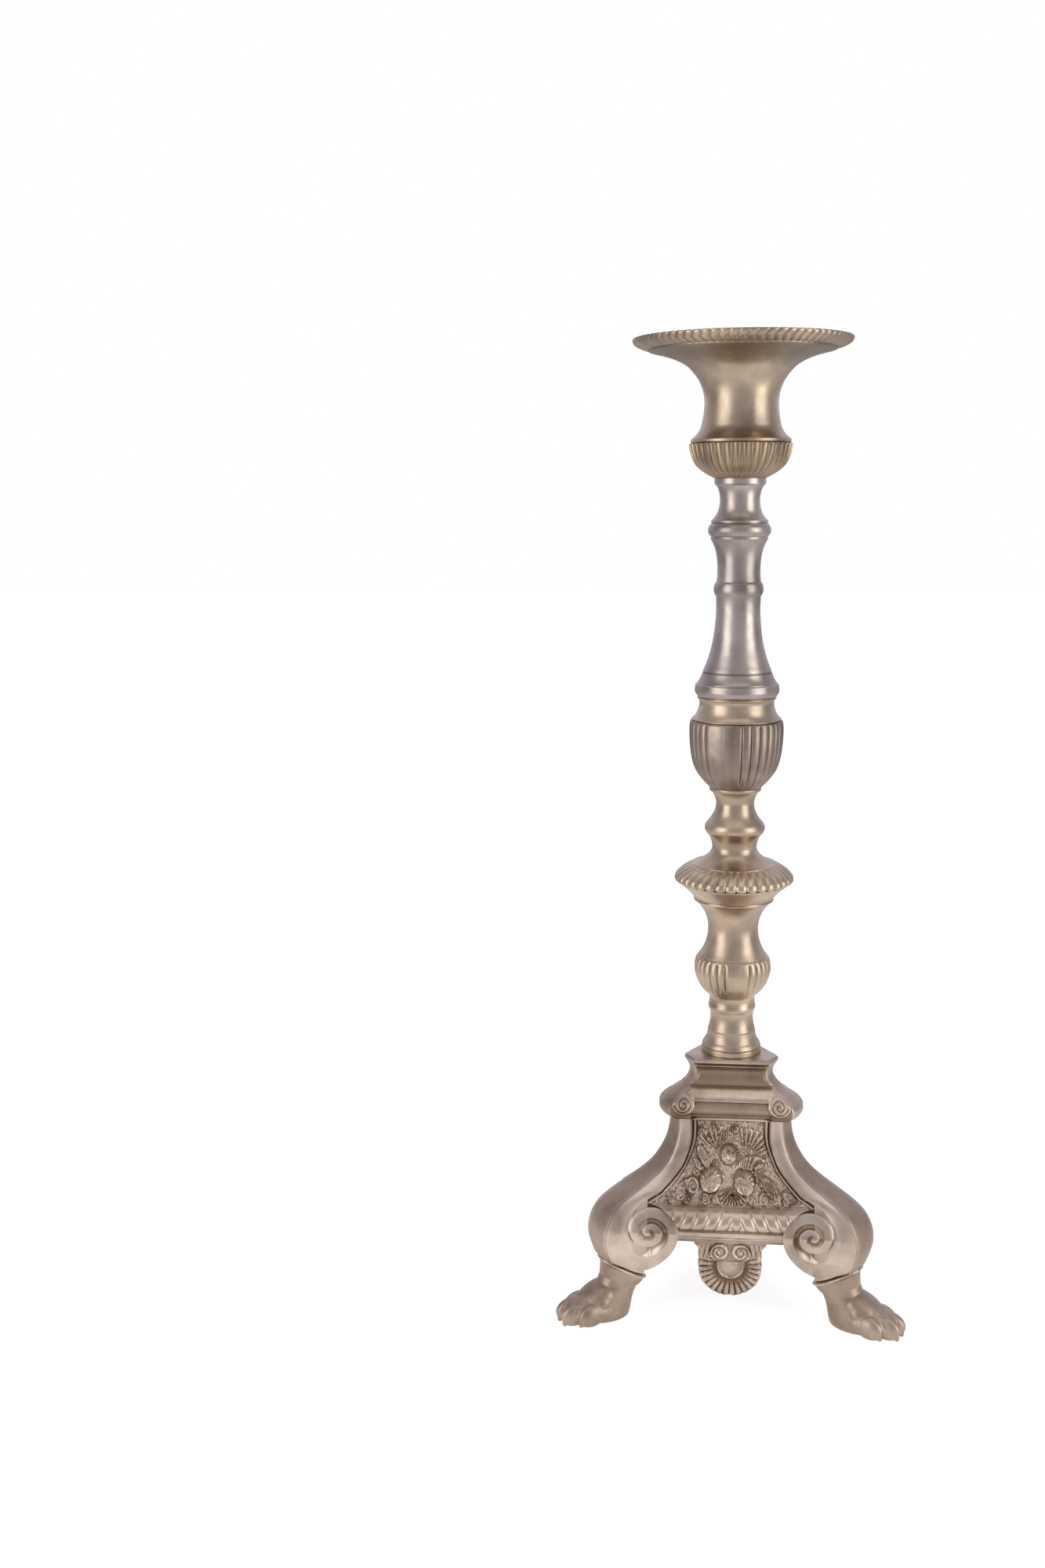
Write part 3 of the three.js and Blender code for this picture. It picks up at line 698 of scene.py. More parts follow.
def plinth_face(x, z, ridge):
    """Relief of a plinth's long side and its wear, which also holds painted shade over the face and
    a lighter roll as its painted highlight.
    """
    away = np.abs(x)
    eye_x, eye_z = SMALL_EYE
    near_ridge = smoothstep(0, 2.5, ridge - away)
    h = 0.5 * smoothstep(163.6, 164.1, z) * near_ridge
    h += 0.8 * line(z, 162.0, 0.5) * near_ridge
    h -= 0.7 * line(z, 163.2, 0.6) * near_ridge
    h -= 1.3 * np.sin(math.pi * np.clip((z - 150.4) / 10.8, 0, 1)) * near_ridge
    h -= 0.5 * line(z, 149.4, 0.5) * near_ridge
    roll = np.sqrt(np.clip(1 - ((z - 144.9) / 3.7) ** 2, 0, 1)) * (1 - smoothstep(31.5, 35.5, away))
    h += 1.8 * roll * near_ridge
    droplet = np.hypot(away - eye_x, (z - eye_z) * 0.93)
    in_fascia = (1 - smoothstep(140.9, 141.3, z)) * (1 - smoothstep(25.2, 25.7, away))
    in_fascia *= smoothstep(7.2, 7.6, droplet)
    h -= 2.4 * in_fascia
    h += 0.6 * in_fascia * smoothstep(138.4, 138.7, z)
    h += 0.6 * in_fascia * line(z, 133.2, 0.5)
    h -= 0.8 * in_fascia * (1 - smoothstep(131.6, 132.1, z))
    inside, dome, groove = small_volute(eye_x - away, z - eye_z, 7.4)
    h = h * (1 - inside) + (0.5 + 1.9 * dome - 1.1 * groove) * inside
    # Painted shade and highlight: the face is kept dark, the cove included, and the roll is painted
    # lighter.
    worn_and_shaded = 0.16 + 0.40 * roll + 0.06 * in_fascia - 0.3 * line(z, 149.4, 0.5)
    worn_and_shaded += 0.5 * line(z, 162.0, 0.45) - 0.3 * line(z, 163.2, 0.5) - 0.3 * line(z, 141.1, 0.5)
    worn_and_shaded += 0.25 * smoothstep(163.4, 164.4, z)
    worn_and_shaded = worn_and_shaded * (1 - inside) + inside * (0.55 + 0.2 * dome - 0.55 * groove)
    rim = line(np.hypot(eye_x - away, z - eye_z), 7.5, 0.35) * (z < 142)
    return h, np.clip(worn_and_shaded - 0.3 * rim, 0, 1)


def plinth():
    corner = through([
        [128.6, 44.4], [129.4, 46.4], [131, 48.0], [133, 49.1], [135.5, 49.5], [138, 48.9],
        [140, 47.5], [143.4, 43.3], [147, 37], [150.3, 32.6], [154, 29.4], [157, 28.4],
        [159, 28.6], [161, 29.4], [163.4, 30.8], [164.4, 31.5], [166.3, 31.6], [167, 31.0],
    ])
    band = through([[131, 6.8], [136, 7.4], [143, 7.2], [147, 6.4], [151, 5.6], [158, 4.8],
                    [163.5, 5.7], [167, 5.8]])
    heights = np.concatenate([np.arange(128.6, 167, 0.3), [167]])
    columns = []
    for k in range(3):
        columns += [("long", k, t) for t in np.linspace(0, 1, 180, endpoint=False)]
        columns += [("short", k, t) for t in np.linspace(0, 1, 20, endpoint=False)]
    outer = np.zeros((len(columns), len(heights), 3))
    wear_and_shade = np.zeros((len(columns), len(heights)))
    inner = np.zeros((len(columns), 2))
    c, w = corner(heights), band(heights)
    ridge, face = c * SIN60 - w / 2, c / 2 + w * SIN60

    def turned(px, py, angle):
        return (px * math.cos(angle) - py * math.sin(angle),
                px * math.sin(angle) + py * math.cos(angle))

    for i, (kind, k, t) in enumerate(columns):
        across = 2 * t - 1
        if kind == "long":
            angle = k * THIRD
            px = ridge * across
            h, wear_and_shade[i] = plinth_face(px, heights, ridge)
            py = -(face + h)
            inner[i] = turned(across * 20, -18.5, angle)
        else:
            angle = k * THIRD + math.radians(-30)
            bulge = 0.8 * (1 - across**2) * (1 - smoothstep(157, 161, heights))
            notch = 0.9 * line(heights, 150.2, 0.8) * smoothstep(0.55, 0.9, abs(across))
            px, py = c + bulge - notch, w * across
            wear_and_shade[i] = 0.3 + 0.3 * across**4 - notch * 0.3
            inner[i] = turned(26, across * 4, angle)
        outer[i, :, 0], outer[i, :, 1] = turned(px, py, angle)
        outer[i, :, 2] = heights
    rim = outer[:, -1, :2]
    theta = np.arctan2(rim[:, 1], rim[:, 0])
    ring = np.stack([np.cos(theta), np.sin(theta)], axis=1)
    rows = [outer[:, j] for j in range(len(heights))]
    top = heights[-1]
    flats = [(rim * (1 - t) + ring * 12 * t, top) for t in (0.12, 0.3, 0.55, 0.8)]
    flats += [(ring * radius, z) for radius, z in (
        (SPIGOT_R, top), (SPIGOT_R, top + SPIGOT_H), (BORE, top + SPIGOT_H), (BORE, top - 6))]
    flats += [(inner * scale, z) for scale, z in ((0.72, top - 6), (0.72, top - 12), (1.35, 129))]
    rows += [np.column_stack([flat, np.full(len(ring), z)]) for flat, z in flats]
    points = np.stack(rows, axis=1)
    worn_and_shaded = np.full(points.shape[:2], WORN)
    worn_and_shaded[:, :len(heights)] = wear_and_shade
    faces = grid_faces(len(columns), len(rows), True, True)
    base_piece("base_plinth", points, faces, worn_and_shaded, sharp=50)


# ---- scroll legs

SCROLL = through([
    [270, 25.2], [285, 22.4], [300, 20.4], [315, 19.2], [360, 18.1], [405, 17.7], [450, 17.0],
    [499, 14.8], [540, 12.9], [580, 11.4], [600, 10.3], [630, 9.4], [675, 8.7], [720, 7.9],
    [765, 6.9], [810, 6.0], [855, 4.9], [900, 4.1], [950, 2.9], [990, 1.9], [1030, 1.0],
    [1080, 0.4], [1440, 0.2],
])


def scroll_point(angle):
    """x, height and depth on the scroll's spiral; above its eye the scroll leans back."""
    radius = SCROLL(angle)
    x = VOLUTE_X - radius * math.cos(math.radians(angle))
    rise = radius * math.sin(math.radians(angle))
    lean = max(rise, 0)
    return x, VOLUTE_Z + rise - 0.17 * lean, VOLUTE_PLANE - 0.42 * lean


def resampled(keys, per_gap):
    """Smooth curves through every column of the keys."""
    keys = np.array(keys, float)
    at = np.arange(len(keys))
    fine = np.linspace(0, len(keys) - 1, (len(keys) - 1) * per_gap + 1)
    return np.stack([through(np.stack([at, key], axis=1))(fine) for key in keys.T], axis=1)


def scroll_edges():
    """Outer and inner edge of the ribbon, matched pair by pair: [x, z, depth, x, z, depth]."""
    pairs = []
    for z in np.arange(LEG_TOP, 85.5, -1.5):
        x = ridge_at(z)
        sink = 1.0 * (1 - smoothstep(85.5, 98, z))
        pairs.append([x, z, face_at(z), x - STRIP(z), z, face_at(z) - sink])
    bend = [
        (84, 45.6, 84.6, 1.5), (81.5, 48.6, 83.2, 2.2), (79, 52.6, 81.0, 2.7), (76, 56.6, 78.2, 2.6),
        (73, 59.8, 75.2, 2.2), (70, 61.7, 72.3, 1.6), (67, 63.0, 68.8, 0.9), (64.4, 63.6, 64.4, 0.3),
    ]
    for z, x_in, z_in, sink in bend:
        pairs.append([ridge_at(z), z, face_at(z), x_in, z_in, face_at(z_in) - sink])
    belly = [(ridge_at(z), z, face_at(z)) for z in (60, 56, 52, 48)] + [
        (ridge_at(44.5), 44.5, face_at(44.5) - 0.3), (73.6, 41.0, 57.6), (68.0, 37.6, 54.6),
        (61.5, 35.9, 54.0), (56.0, 36.6, 56.2), (52.6, 38.2, 58.4),
    ]
    for x, z, depth in belly:
        angle = math.degrees(math.atan2(z - VOLUTE_Z, VOLUTE_X - x)) % 360
        x_in, z_in, depth_in = scroll_point(angle + 360)
        pairs.append([x, z, depth, x_in, z_in, depth_in - 0.4])
    for angle in np.arange(270, 1081, 9):
        x, z, depth = scroll_point(angle)
        sink = 1.3 * (1 - smoothstep(270, 315, angle))
        pairs.append([x, z, depth - sink, *scroll_point(angle + 360)])
    return np.array(pairs)


# Pairs of edges at which the ribbon starts to wind up, is wound up, and gets its full depth.
WINDS_FROM, WINDS_TO, THICK_FROM = 34, 48, 40


def ribbon():
    """Closed sweep of the scroll's ribbon in a long side's frame, from the plinth to the eye."""
    per_gap = 3
    edges = resampled(scroll_edges(), per_gap)
    f = np.array([0, 0.02, 0.05, 0.1, 0.16, 0.24, 0.32, 0.42, 0.52, 0.6, 0.66, 0.72, 0.78,
                  0.84, 0.89, 0.93, 0.96, 0.985, 1.0])[None, :]  # from outer edge to inner edge
    row = np.arange(len(edges), dtype=float)[:, None]
    outer, inner = edges[:, None, :3], edges[:, None, 3:]
    width = np.hypot(edges[:, 0] - edges[:, 3], edges[:, 1] - edges[:, 4])[:, None]
    body = outer * (1 - f[..., None]) + inner * f[..., None]

    # The strip down the leg is gently crowned; once wound up, the ribbon has a cove inside.
    wound = smoothstep(WINDS_FROM * per_gap, WINDS_TO * per_gap, row)
    strip = 0.75 * np.sin(math.pi * np.clip(f / 0.86, 0, 1)) ** 0.8
    strip = strip + 0.55 * line(f, 0.93, 0.035) - 0.9 * smoothstep(0.965, 0.985, f)
    crown = 0.25 + 0.85 * np.sin(math.pi / 2 * np.clip(f / 0.5, 0, 1)) ** 0.8
    cove = 3.2 * np.sin(math.pi / 2 * np.clip((f - 0.6) / 0.38, 0, 1))
    body[..., 2] += strip * (1 - wound) + (crown - cove) * np.clip(width / 9, 0.12, 1) * wound
    wear_and_shade = np.where(f > 0.6, 0.80 - 0.7 * smoothstep(0.74, 0.98, f), 0.80)
    wear_and_shade = wear_and_shade + 0.12 * line(f, 0.93, 0.04) * (1 - wound)

    thick = np.where(row < THICK_FROM * per_gap, 3.2, VOLUTE_DEPTH)
    behind = [np.concatenate([edges[:, k:k + 2], edges[:, k + 2:k + 3] - thick], axis=1)[:, None, :]
              for k in (3, 0)]
    section = np.concatenate([body, *behind], axis=1)
    back = np.full((len(edges), 2), 0.4)
    return section, np.concatenate([wear_and_shade, back], axis=1)


def leg(name, azimuth):
    points, faces, wear_and_shade_parts = [], [], []

    def push(grid, wear_and_shade, flip=False):
        faces.extend(sweep_faces(*grid.shape[:2], sum(len(p) for p in points), flip))
        points.append(grid.reshape(-1, 3))
        wear_and_shade_parts.append(wear_and_shade.ravel())

    section, wear_and_shade = ribbon()
    for side in (1, -1):
        x, y, z = side_to_leg(section[..., 0], section[..., 2], section[..., 1])
        push(np.stack([x, side * y, z], axis=-1), wear_and_shade, flip=side < 0)

    # Outer band between the two front ridges, slightly convex, with a hollow back.
    heights = np.concatenate([np.arange(LEG_TOP, 42, -0.8), [41.4, 40.9]])
    v = np.linspace(-1, 1, 25)
    hh, vv = np.meshgrid(heights, v, indexing="ij")
    crown = (0.5 + 1.3 * (1 - smoothstep(80, 100, hh))) * (1 - np.abs(vv) ** 2.4)
    crown -= 0.35 * line(np.abs(vv), 0.93, 0.03)
    front = np.stack([CORNER(hh) + crown, BAND(hh) * vv, hh], axis=-1)
    hollow_back = np.stack([CORNER(hh) - 4.5, (BAND(hh) - 2.6) * vv, hh], axis=-1)[:, ::-1]
    # Painted shade: the whole band is painted dark; its rubbed edges are lighter and the groove near
    # them darker.
    band_wear_and_shade = 0.2 + 0.4 * np.abs(vv) ** 6 - 0.2 * line(np.abs(vv), 0.93, 0.03)
    push(np.concatenate([front, hollow_back], axis=1),
         np.concatenate([band_wear_and_shade, np.full_like(band_wear_and_shade, INSIDE)], axis=1))

    # Core behind the ribbons: the casting's wall, closed round the ankle block below.
    heights = np.concatenate([np.arange(LEG_TOP, 84, -1.5), [83.9, 80, 76, 72, 68, 62, 56, 50, 46]])
    rows = []
    for z in heights:
        c, w = CORNER(z), BAND(z)
        s = STRIP(z) if z > 84 else ridge_at(z) - 52
        end = (c - SIN60 * (s - 0.6), w + (s - 0.6) / 2)
        shift = (-0.5 * 1.2, -SIN60 * 1.2)
        half = [(c - 2, w - 1.6), (end[0] + shift[0], end[1] + shift[1]),
                (end[0] - 2.6, end[1] - 4.4), (c - 6.5, w - 4.4)]
        loop = half + [(px, -py) for px, py in reversed(half)]
        rows.append([[px, py, z] for px, py in loop])
    core = np.array(rows)
    push(core, np.full(core.shape[:2], 0.35))

    # Ankle block, cut off at the slanting joint with the paw.
    theta = np.linspace(0, 2 * math.pi, 64, endpoint=False)
    rows = []
    for top, reach, half in ((58, 13.4, 12.0), (48, 14.0, 12.8), (38, 14.6, 13.2), (4, 14.8, 13.4),
                             (0.8, 14.9, 13.5), (0.3, 14.5, 13.1)):
        px, py = 80 + reach * np.cos(theta), half * np.sin(theta)
        floor = ankle_joint(px)
        z = np.maximum(floor + 1, top) if top > 10 else floor + top
        rows.append(np.stack([px, py, z], axis=-1))
    block = np.array(rows)
    push(block, np.full(block.shape[:2], 0.5), flip=True)

    base_piece(name, np.concatenate(points), faces, np.concatenate(wear_and_shade_parts), 38, azimuth)


# ---- paws

def ellipsoid(centre, radii, tilt=0.0, spin=0.0, nu=28, nv=18):
    """Points and faces of an ellipsoid; tilt lowers its +x end, spin turns it about z."""
    u = np.linspace(0, 2 * math.pi, nu, endpoint=False)
    v = np.linspace(-math.pi / 2 + 0.05, math.pi / 2 - 0.05, nv)
    uu, vv = np.meshgrid(u, v, indexing="ij")
    p = np.stack([np.cos(uu) * np.cos(vv) * radii[0], np.sin(uu) * np.cos(vv) * radii[1],
                  np.sin(vv) * radii[2]], axis=-1).reshape(-1, 3)
    turn = Matrix.Rotation(math.radians(spin), 3, "Z") @ Matrix.Rotation(math.radians(tilt), 3, "Y")
    return p @ np.array(turn).T + np.array(centre), (nu, nv)


def paw(name, azimuth):
    points, faces = [], []

    def push(p, shape):
        start = sum(len(q) for q in points)
        nu, nv = shape
        faces.extend(grid_faces(nu, nv, True, False, start))
        faces.append([start + i * nv for i in range(nu)][::-1])
        faces.append([start + i * nv + nv - 1 for i in range(nu)])
        points.append(p)

    # Shank: ellipses from the sole up to the slanting ankle joint.
    levels = [(0.5, 93, 17, 12.0), (5, 93, 18, 13.4), (10, 92, 18, 13.0), (15, 89.5, 17, 12.4),
              (20, 85.5, 15.6, 12.2), (25, 82.3, 14.8, 12.4), (32, 80.6, 14.5, 12.7),
              (42, 80, 14.7, 13.0), (52, 80, 15.0, 13.3)]
    u = np.linspace(0, 2 * math.pi, 64, endpoint=False)
    rows = []
    for z, middle_r, reach, half in levels:
        px, py = middle_r + reach * np.cos(u), half * np.sin(u)
        limit = ankle_joint(px) - ANKLE_GAP
        height = np.where(z > 20, 20 + (limit - 20) * (z - 20) / 32, z)
        rows.append(np.stack([px, py, height], axis=-1))
    shank = np.array(rows).transpose(1, 0, 2).reshape(-1, 3)
    push(shank, (64, len(levels)))
    push(*ellipsoid((102, 0, 7.6), (20, 14.6, 9.4), 0))
    push(*ellipsoid((98, 0, 14.5), (18, 12.6, 8.4), 26))
    # Four toes, each with a knuckle behind it, a blunt end and a small claw.
    for v, spin, reach in ((-9.6, -6, 106.2), (-3.6, -3, 115), (3.6, 3, 115), (9.6, 6, 106.2)):
        push(*ellipsoid((reach, v, 7.2), (10.6, 5.4, 7.7), 8, spin))
        push(*ellipsoid((reach + 3.2, v * 1.02, 5.8), (6.8, 5.2, 5.8), 0, spin))
        push(*ellipsoid((reach - 8.0, v * 0.9, 13.0), (7.0, 4.8, 4.8), 24, spin))
        push(*ellipsoid((reach + 8.0, v * 1.03, 2.4), (1.9, 1.3, 2.4), 0, spin, 14, 10))
    raw = bpy.data.meshes.new(name + "_clay")
    raw.from_pydata(np.concatenate(points).tolist(), [], faces)
    clay = place(name + "_clay", raw)
    remesh = clay.modifiers.new("voxels", "REMESH")
    remesh.mode = "VOXEL"
    remesh.voxel_size = 0.5
    ease = clay.modifiers.new("ease", "SMOOTH")
    ease.factor = 0.5
    ease.iterations = 2
    shaped = clay.evaluated_get(bpy.context.evaluated_depsgraph_get()).to_mesh()
    p = np.empty(len(shaped.vertices) * 3, np.float32)
    shaped.vertices.foreach_get("co", p)
    p = p.reshape(-1, 3).astype(float)
    quads = [list(face.vertices) for face in shaped.polygons]
    clay.to_mesh_clear()
    bpy.data.objects.remove(clay)
    bpy.data.meshes.remove(raw)
    p[:, 2] = np.maximum(p[:, 2], 0)
    shank_r = np.hypot(p[:, 0] - ANKLE_R, p[:, 1])
    limit = ankle_joint(p[:, 0]) - ANKLE_GAP
    bead = line(p[:, 2], limit - 1.3, 1.1) * (shank_r < 17) * (p[:, 2] > 20)
    p[:, 0] += bead * 1.5 * (p[:, 0] - ANKLE_R) / (shank_r + 1e-6)
    p[:, 1] += bead * 1.5 * p[:, 1] / (shank_r + 1e-6)
    base_piece(name, p, quads, 0.25 + 0.6 * bead, 180, azimuth)


# ---- relief panels

def blob(x, z, cx, cz, rx, rz, lean=0.0):
    """Height of a unit dome over an ellipse, 1 at its middle and 0 outside."""
    a = math.radians(lean)
    u = ((x - cx) * math.cos(a) + (z - cz) * math.sin(a)) / rx
    v = (-(x - cx) * math.sin(a) + (z - cz) * math.cos(a)) / rz
    return np.sqrt(np.clip(1 - u * u - v * v, 0, 1)), u, v


def bump(u, v, at_u, at_v, ru, rv):
    return np.exp(-(((u - at_u) / ru) ** 2) - ((v - at_v) / rv) ** 2)


def head(x, z, cx, cz, rx, rz, lean, hair):
    """A calm child's face in low relief, hair combed over the crown."""
    dome, u, v = blob(x, z, cx, cz, rx, rz, lean)
    h = 4.4 * dome ** 0.75
    h += 0.6 * bump(u, v, 0, -0.18, 0.12, 0.2)  # nose
    for eye in (-0.36, 0.36):
        h -= 0.6 * bump(u, v, eye, 0, 0.17, 0.11)
        h += 0.35 * bump(u, v, eye, -0.36, 0.22, 0.2)  # cheek
    h -= 0.45 * bump(u, v, 0, -0.5, 0.24, 0.07)  # mouth
    h += 0.3 * bump(u, v, 0, -0.72, 0.2, 0.14)  # chin
    curls = np.maximum(smoothstep(0.25, 0.45, v + 0.35 * u * u),
                       smoothstep(0.66, 0.82, np.abs(u)))
    strands = 0.5 + 0.5 * np.sin(np.arctan2(v - 0.2, u) * hair + 7 * np.hypot(u, v))
    h += curls * dome ** 0.4 * (0.2 + 1.1 * strands)
    return h * (dome > 0), dome


def feathers(x, z, cx, cz, rx, rz, lean, count):
    dome, u, v = blob(x, z, cx, cz, rx, rz, lean)
    quill = 0.5 + 0.5 * np.cos(2 * math.pi * count * (v + 0.25 * u * u))
    return (dome > 0) * (0.8 + 2.0 * dome ** 0.6 * (0.5 + 0.5 * quill)), dome


def rays(x, z, cx, cz, start, end, spread, toward, count):
    r = np.hypot(x - cx, z - cz)
    angle = np.degrees(np.arctan2(z - cz, x - cx)) - toward
    fan = between(r, start - 0.5, start + 0.5, end - 1.5, end)
    fan *= 1 - smoothstep(spread - 4, spread, np.abs(angle))
    return fan * (0.5 + 0.5 * np.cos(math.pi * angle / spread * count))


def curl(x, z, cx, cz, radius, turns_to_left=1):
    inside, snail = spiral_height(turns_to_left * (x - cx), z - cz, radius, 2.3, 1.2)
    return inside * (0.4 + snail)


def texture(x, z, seed, scale):
    """Worm-like punched ground, fixed by its seed."""
    spots = zip(x.ravel() * scale, z.ravel() * scale)
    return np.array([noise.noise((a, b, seed)) for a, b in spots]).reshape(x.shape)


def crests(h, reach):
    """How far each point of a height field stands above its neighbourhood."""
    around = h
    for axis in (0, 1):
        total = around.copy()
        for step in range(1, reach + 1):
            total = total + np.roll(around, step, axis) + np.roll(around, -step, axis)
        around = total / (2 * reach + 1)
    return h - around


def picture(x, z, seed):
    """Relief over the panel's ground: three cherub heads, wings, rays, clouds and a shell."""
    worms = texture(x, z, seed, 0.62)
    fine = texture(x, z, seed + 5, 1.5)
    h = 0.8 * (1 - np.clip(np.abs(worms) / 0.24, 0, 1)) + 0.5 * fine + 0.3

    def lay(layer, mask):
        nonlocal h
        h = np.where(mask > 0, np.maximum(h, layer + 0.42 * fine), h)

    for cx, cz, radius, way in (
            (-19.5, 119, 2.8, 1), (-11, 121.5, 2.6, -1), (-24, 89, 4.4, 1), (-31.5, 85, 3.6, -1),
            (-16, 83, 3.2, 1), (21, 84, 3.2, -1), (2.5, 121, 2.6, 1), (-4.5, 117.4, 2.5, 1),
            (-13.5, 115, 2.6, 1), (-38, 83.2, 2.6, 1), (29.5, 82.6, 2.6, 1), (-21.5, 95.5, 2.6, -1),
            (19.5, 98.6, 2.2, 1), (-9.8, 99.2, 2.2, 1), (35.5, 83.0, 2.4, -1), (-27, 81.9, 2.2, 1),
            (13.5, 82.5, 2.6, 1), (-9.6, 82.8, 2.4, -1)):
        layer = curl(x, z, cx, cz, radius, way)
        lay(1.5 * layer + 0.3, layer > 0.05)
    sunburst = rays(x, z, 9.0, 103.0, 8, 20, 46, 62, 8)
    lay(0.35 + 1.6 * sunburst, sunburst > 0.05)
    glory = rays(x, z, -6.5, 103.0, 9, 20, 34, 112, 6)
    lay(0.25 + 1.4 * glory, glory > 0.08)
    for args in ((13.6, 101.0, 8.4, 3.9, 8, 5), (-17.4, 104.0, 7.0, 3.0, -62, 4),
                 (26.0, 88.4, 7.6, 3.2, -42, 5), (-31, 88.0, 6.4, 2.4, 40, 3),
                 (-8.0, 112.6, 4.4, 1.9, 68, 2), (18.6, 93.6, 4.8, 2.6, -60, 3),
                 (37.0, 85.2, 4.4, 1.9, -24, 3), (-21.0, 99.6, 4.0, 1.8, -48, 2)):
        layer, dome = feathers(x, z, *args)
        lay(layer + 0.3, dome)
    shell_x, shell_z = 1.1, 88.5
    fan = rays(x, z, shell_x, shell_z, 0.5, 10.2, 80, -90, 11)
    lay(0.9 + 1.7 * fan, fan > 0.03)
    rim = line(np.hypot(x - shell_x, z - shell_z), 10.5, 0.8) * (z < 86.0)
    lay(2.6 * rim, rim > 0.2)
    for args in ((-1.1, 105.4, 5.4, 6.0, 4, 14), (-12.6, 92.2, 7.2, 6.1, 14, 13),
                 (8.8, 91.4, 6.7, 6.0, -14, 14)):
        layer, dome = head(x, z, *args)
        lay(layer + 0.5, dome)
    return h


BEND_TOP, BEND_EDGE = 84.6, through([[78.2, 56.2], [81, 52.2], [83.2, 48.2], [84.6, 45.2]])
PENDANT_TOP, PICTURE_FOOT = 58.6, 80.4
PENDANT_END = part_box("front_relief_panel")[0].z / MM + 0.05


def panel_half(z):
    """Half the panel's width: a round-ended pendant, then the edge beside the volute and leg."""
    round_r, clear_r = 20.0, 18.3
    shell = PENDANT_END + round_r
    round_end = np.sqrt(np.clip(round_r ** 2 - np.clip(shell - z, 0, round_r) ** 2, 0, None))
    leaf = 19.6 + 0.5 * np.sin((z - shell) * 0.9) * (z > shell) * (z < 55)
    leaf = leaf + 3.2 * smoothstep(52, 58.4, z) ** 2
    pendant = np.where(z < shell, round_end * 0.985, leaf)
    rise = np.where(z > VOLUTE_Z, (z - VOLUTE_Z) / 0.85, VOLUTE_Z - z)
    disc = VOLUTE_X - np.sqrt(np.clip(clear_r ** 2 - rise ** 2, 0, None))
    frame_edge = np.where(z < BEND_TOP, BEND_EDGE(z), ridge_at(z) - STRIP(z) - 0.3)
    upper = np.where(rise < clear_r, disc, frame_edge)
    return np.where(z < PENDANT_TOP, pendant, upper)


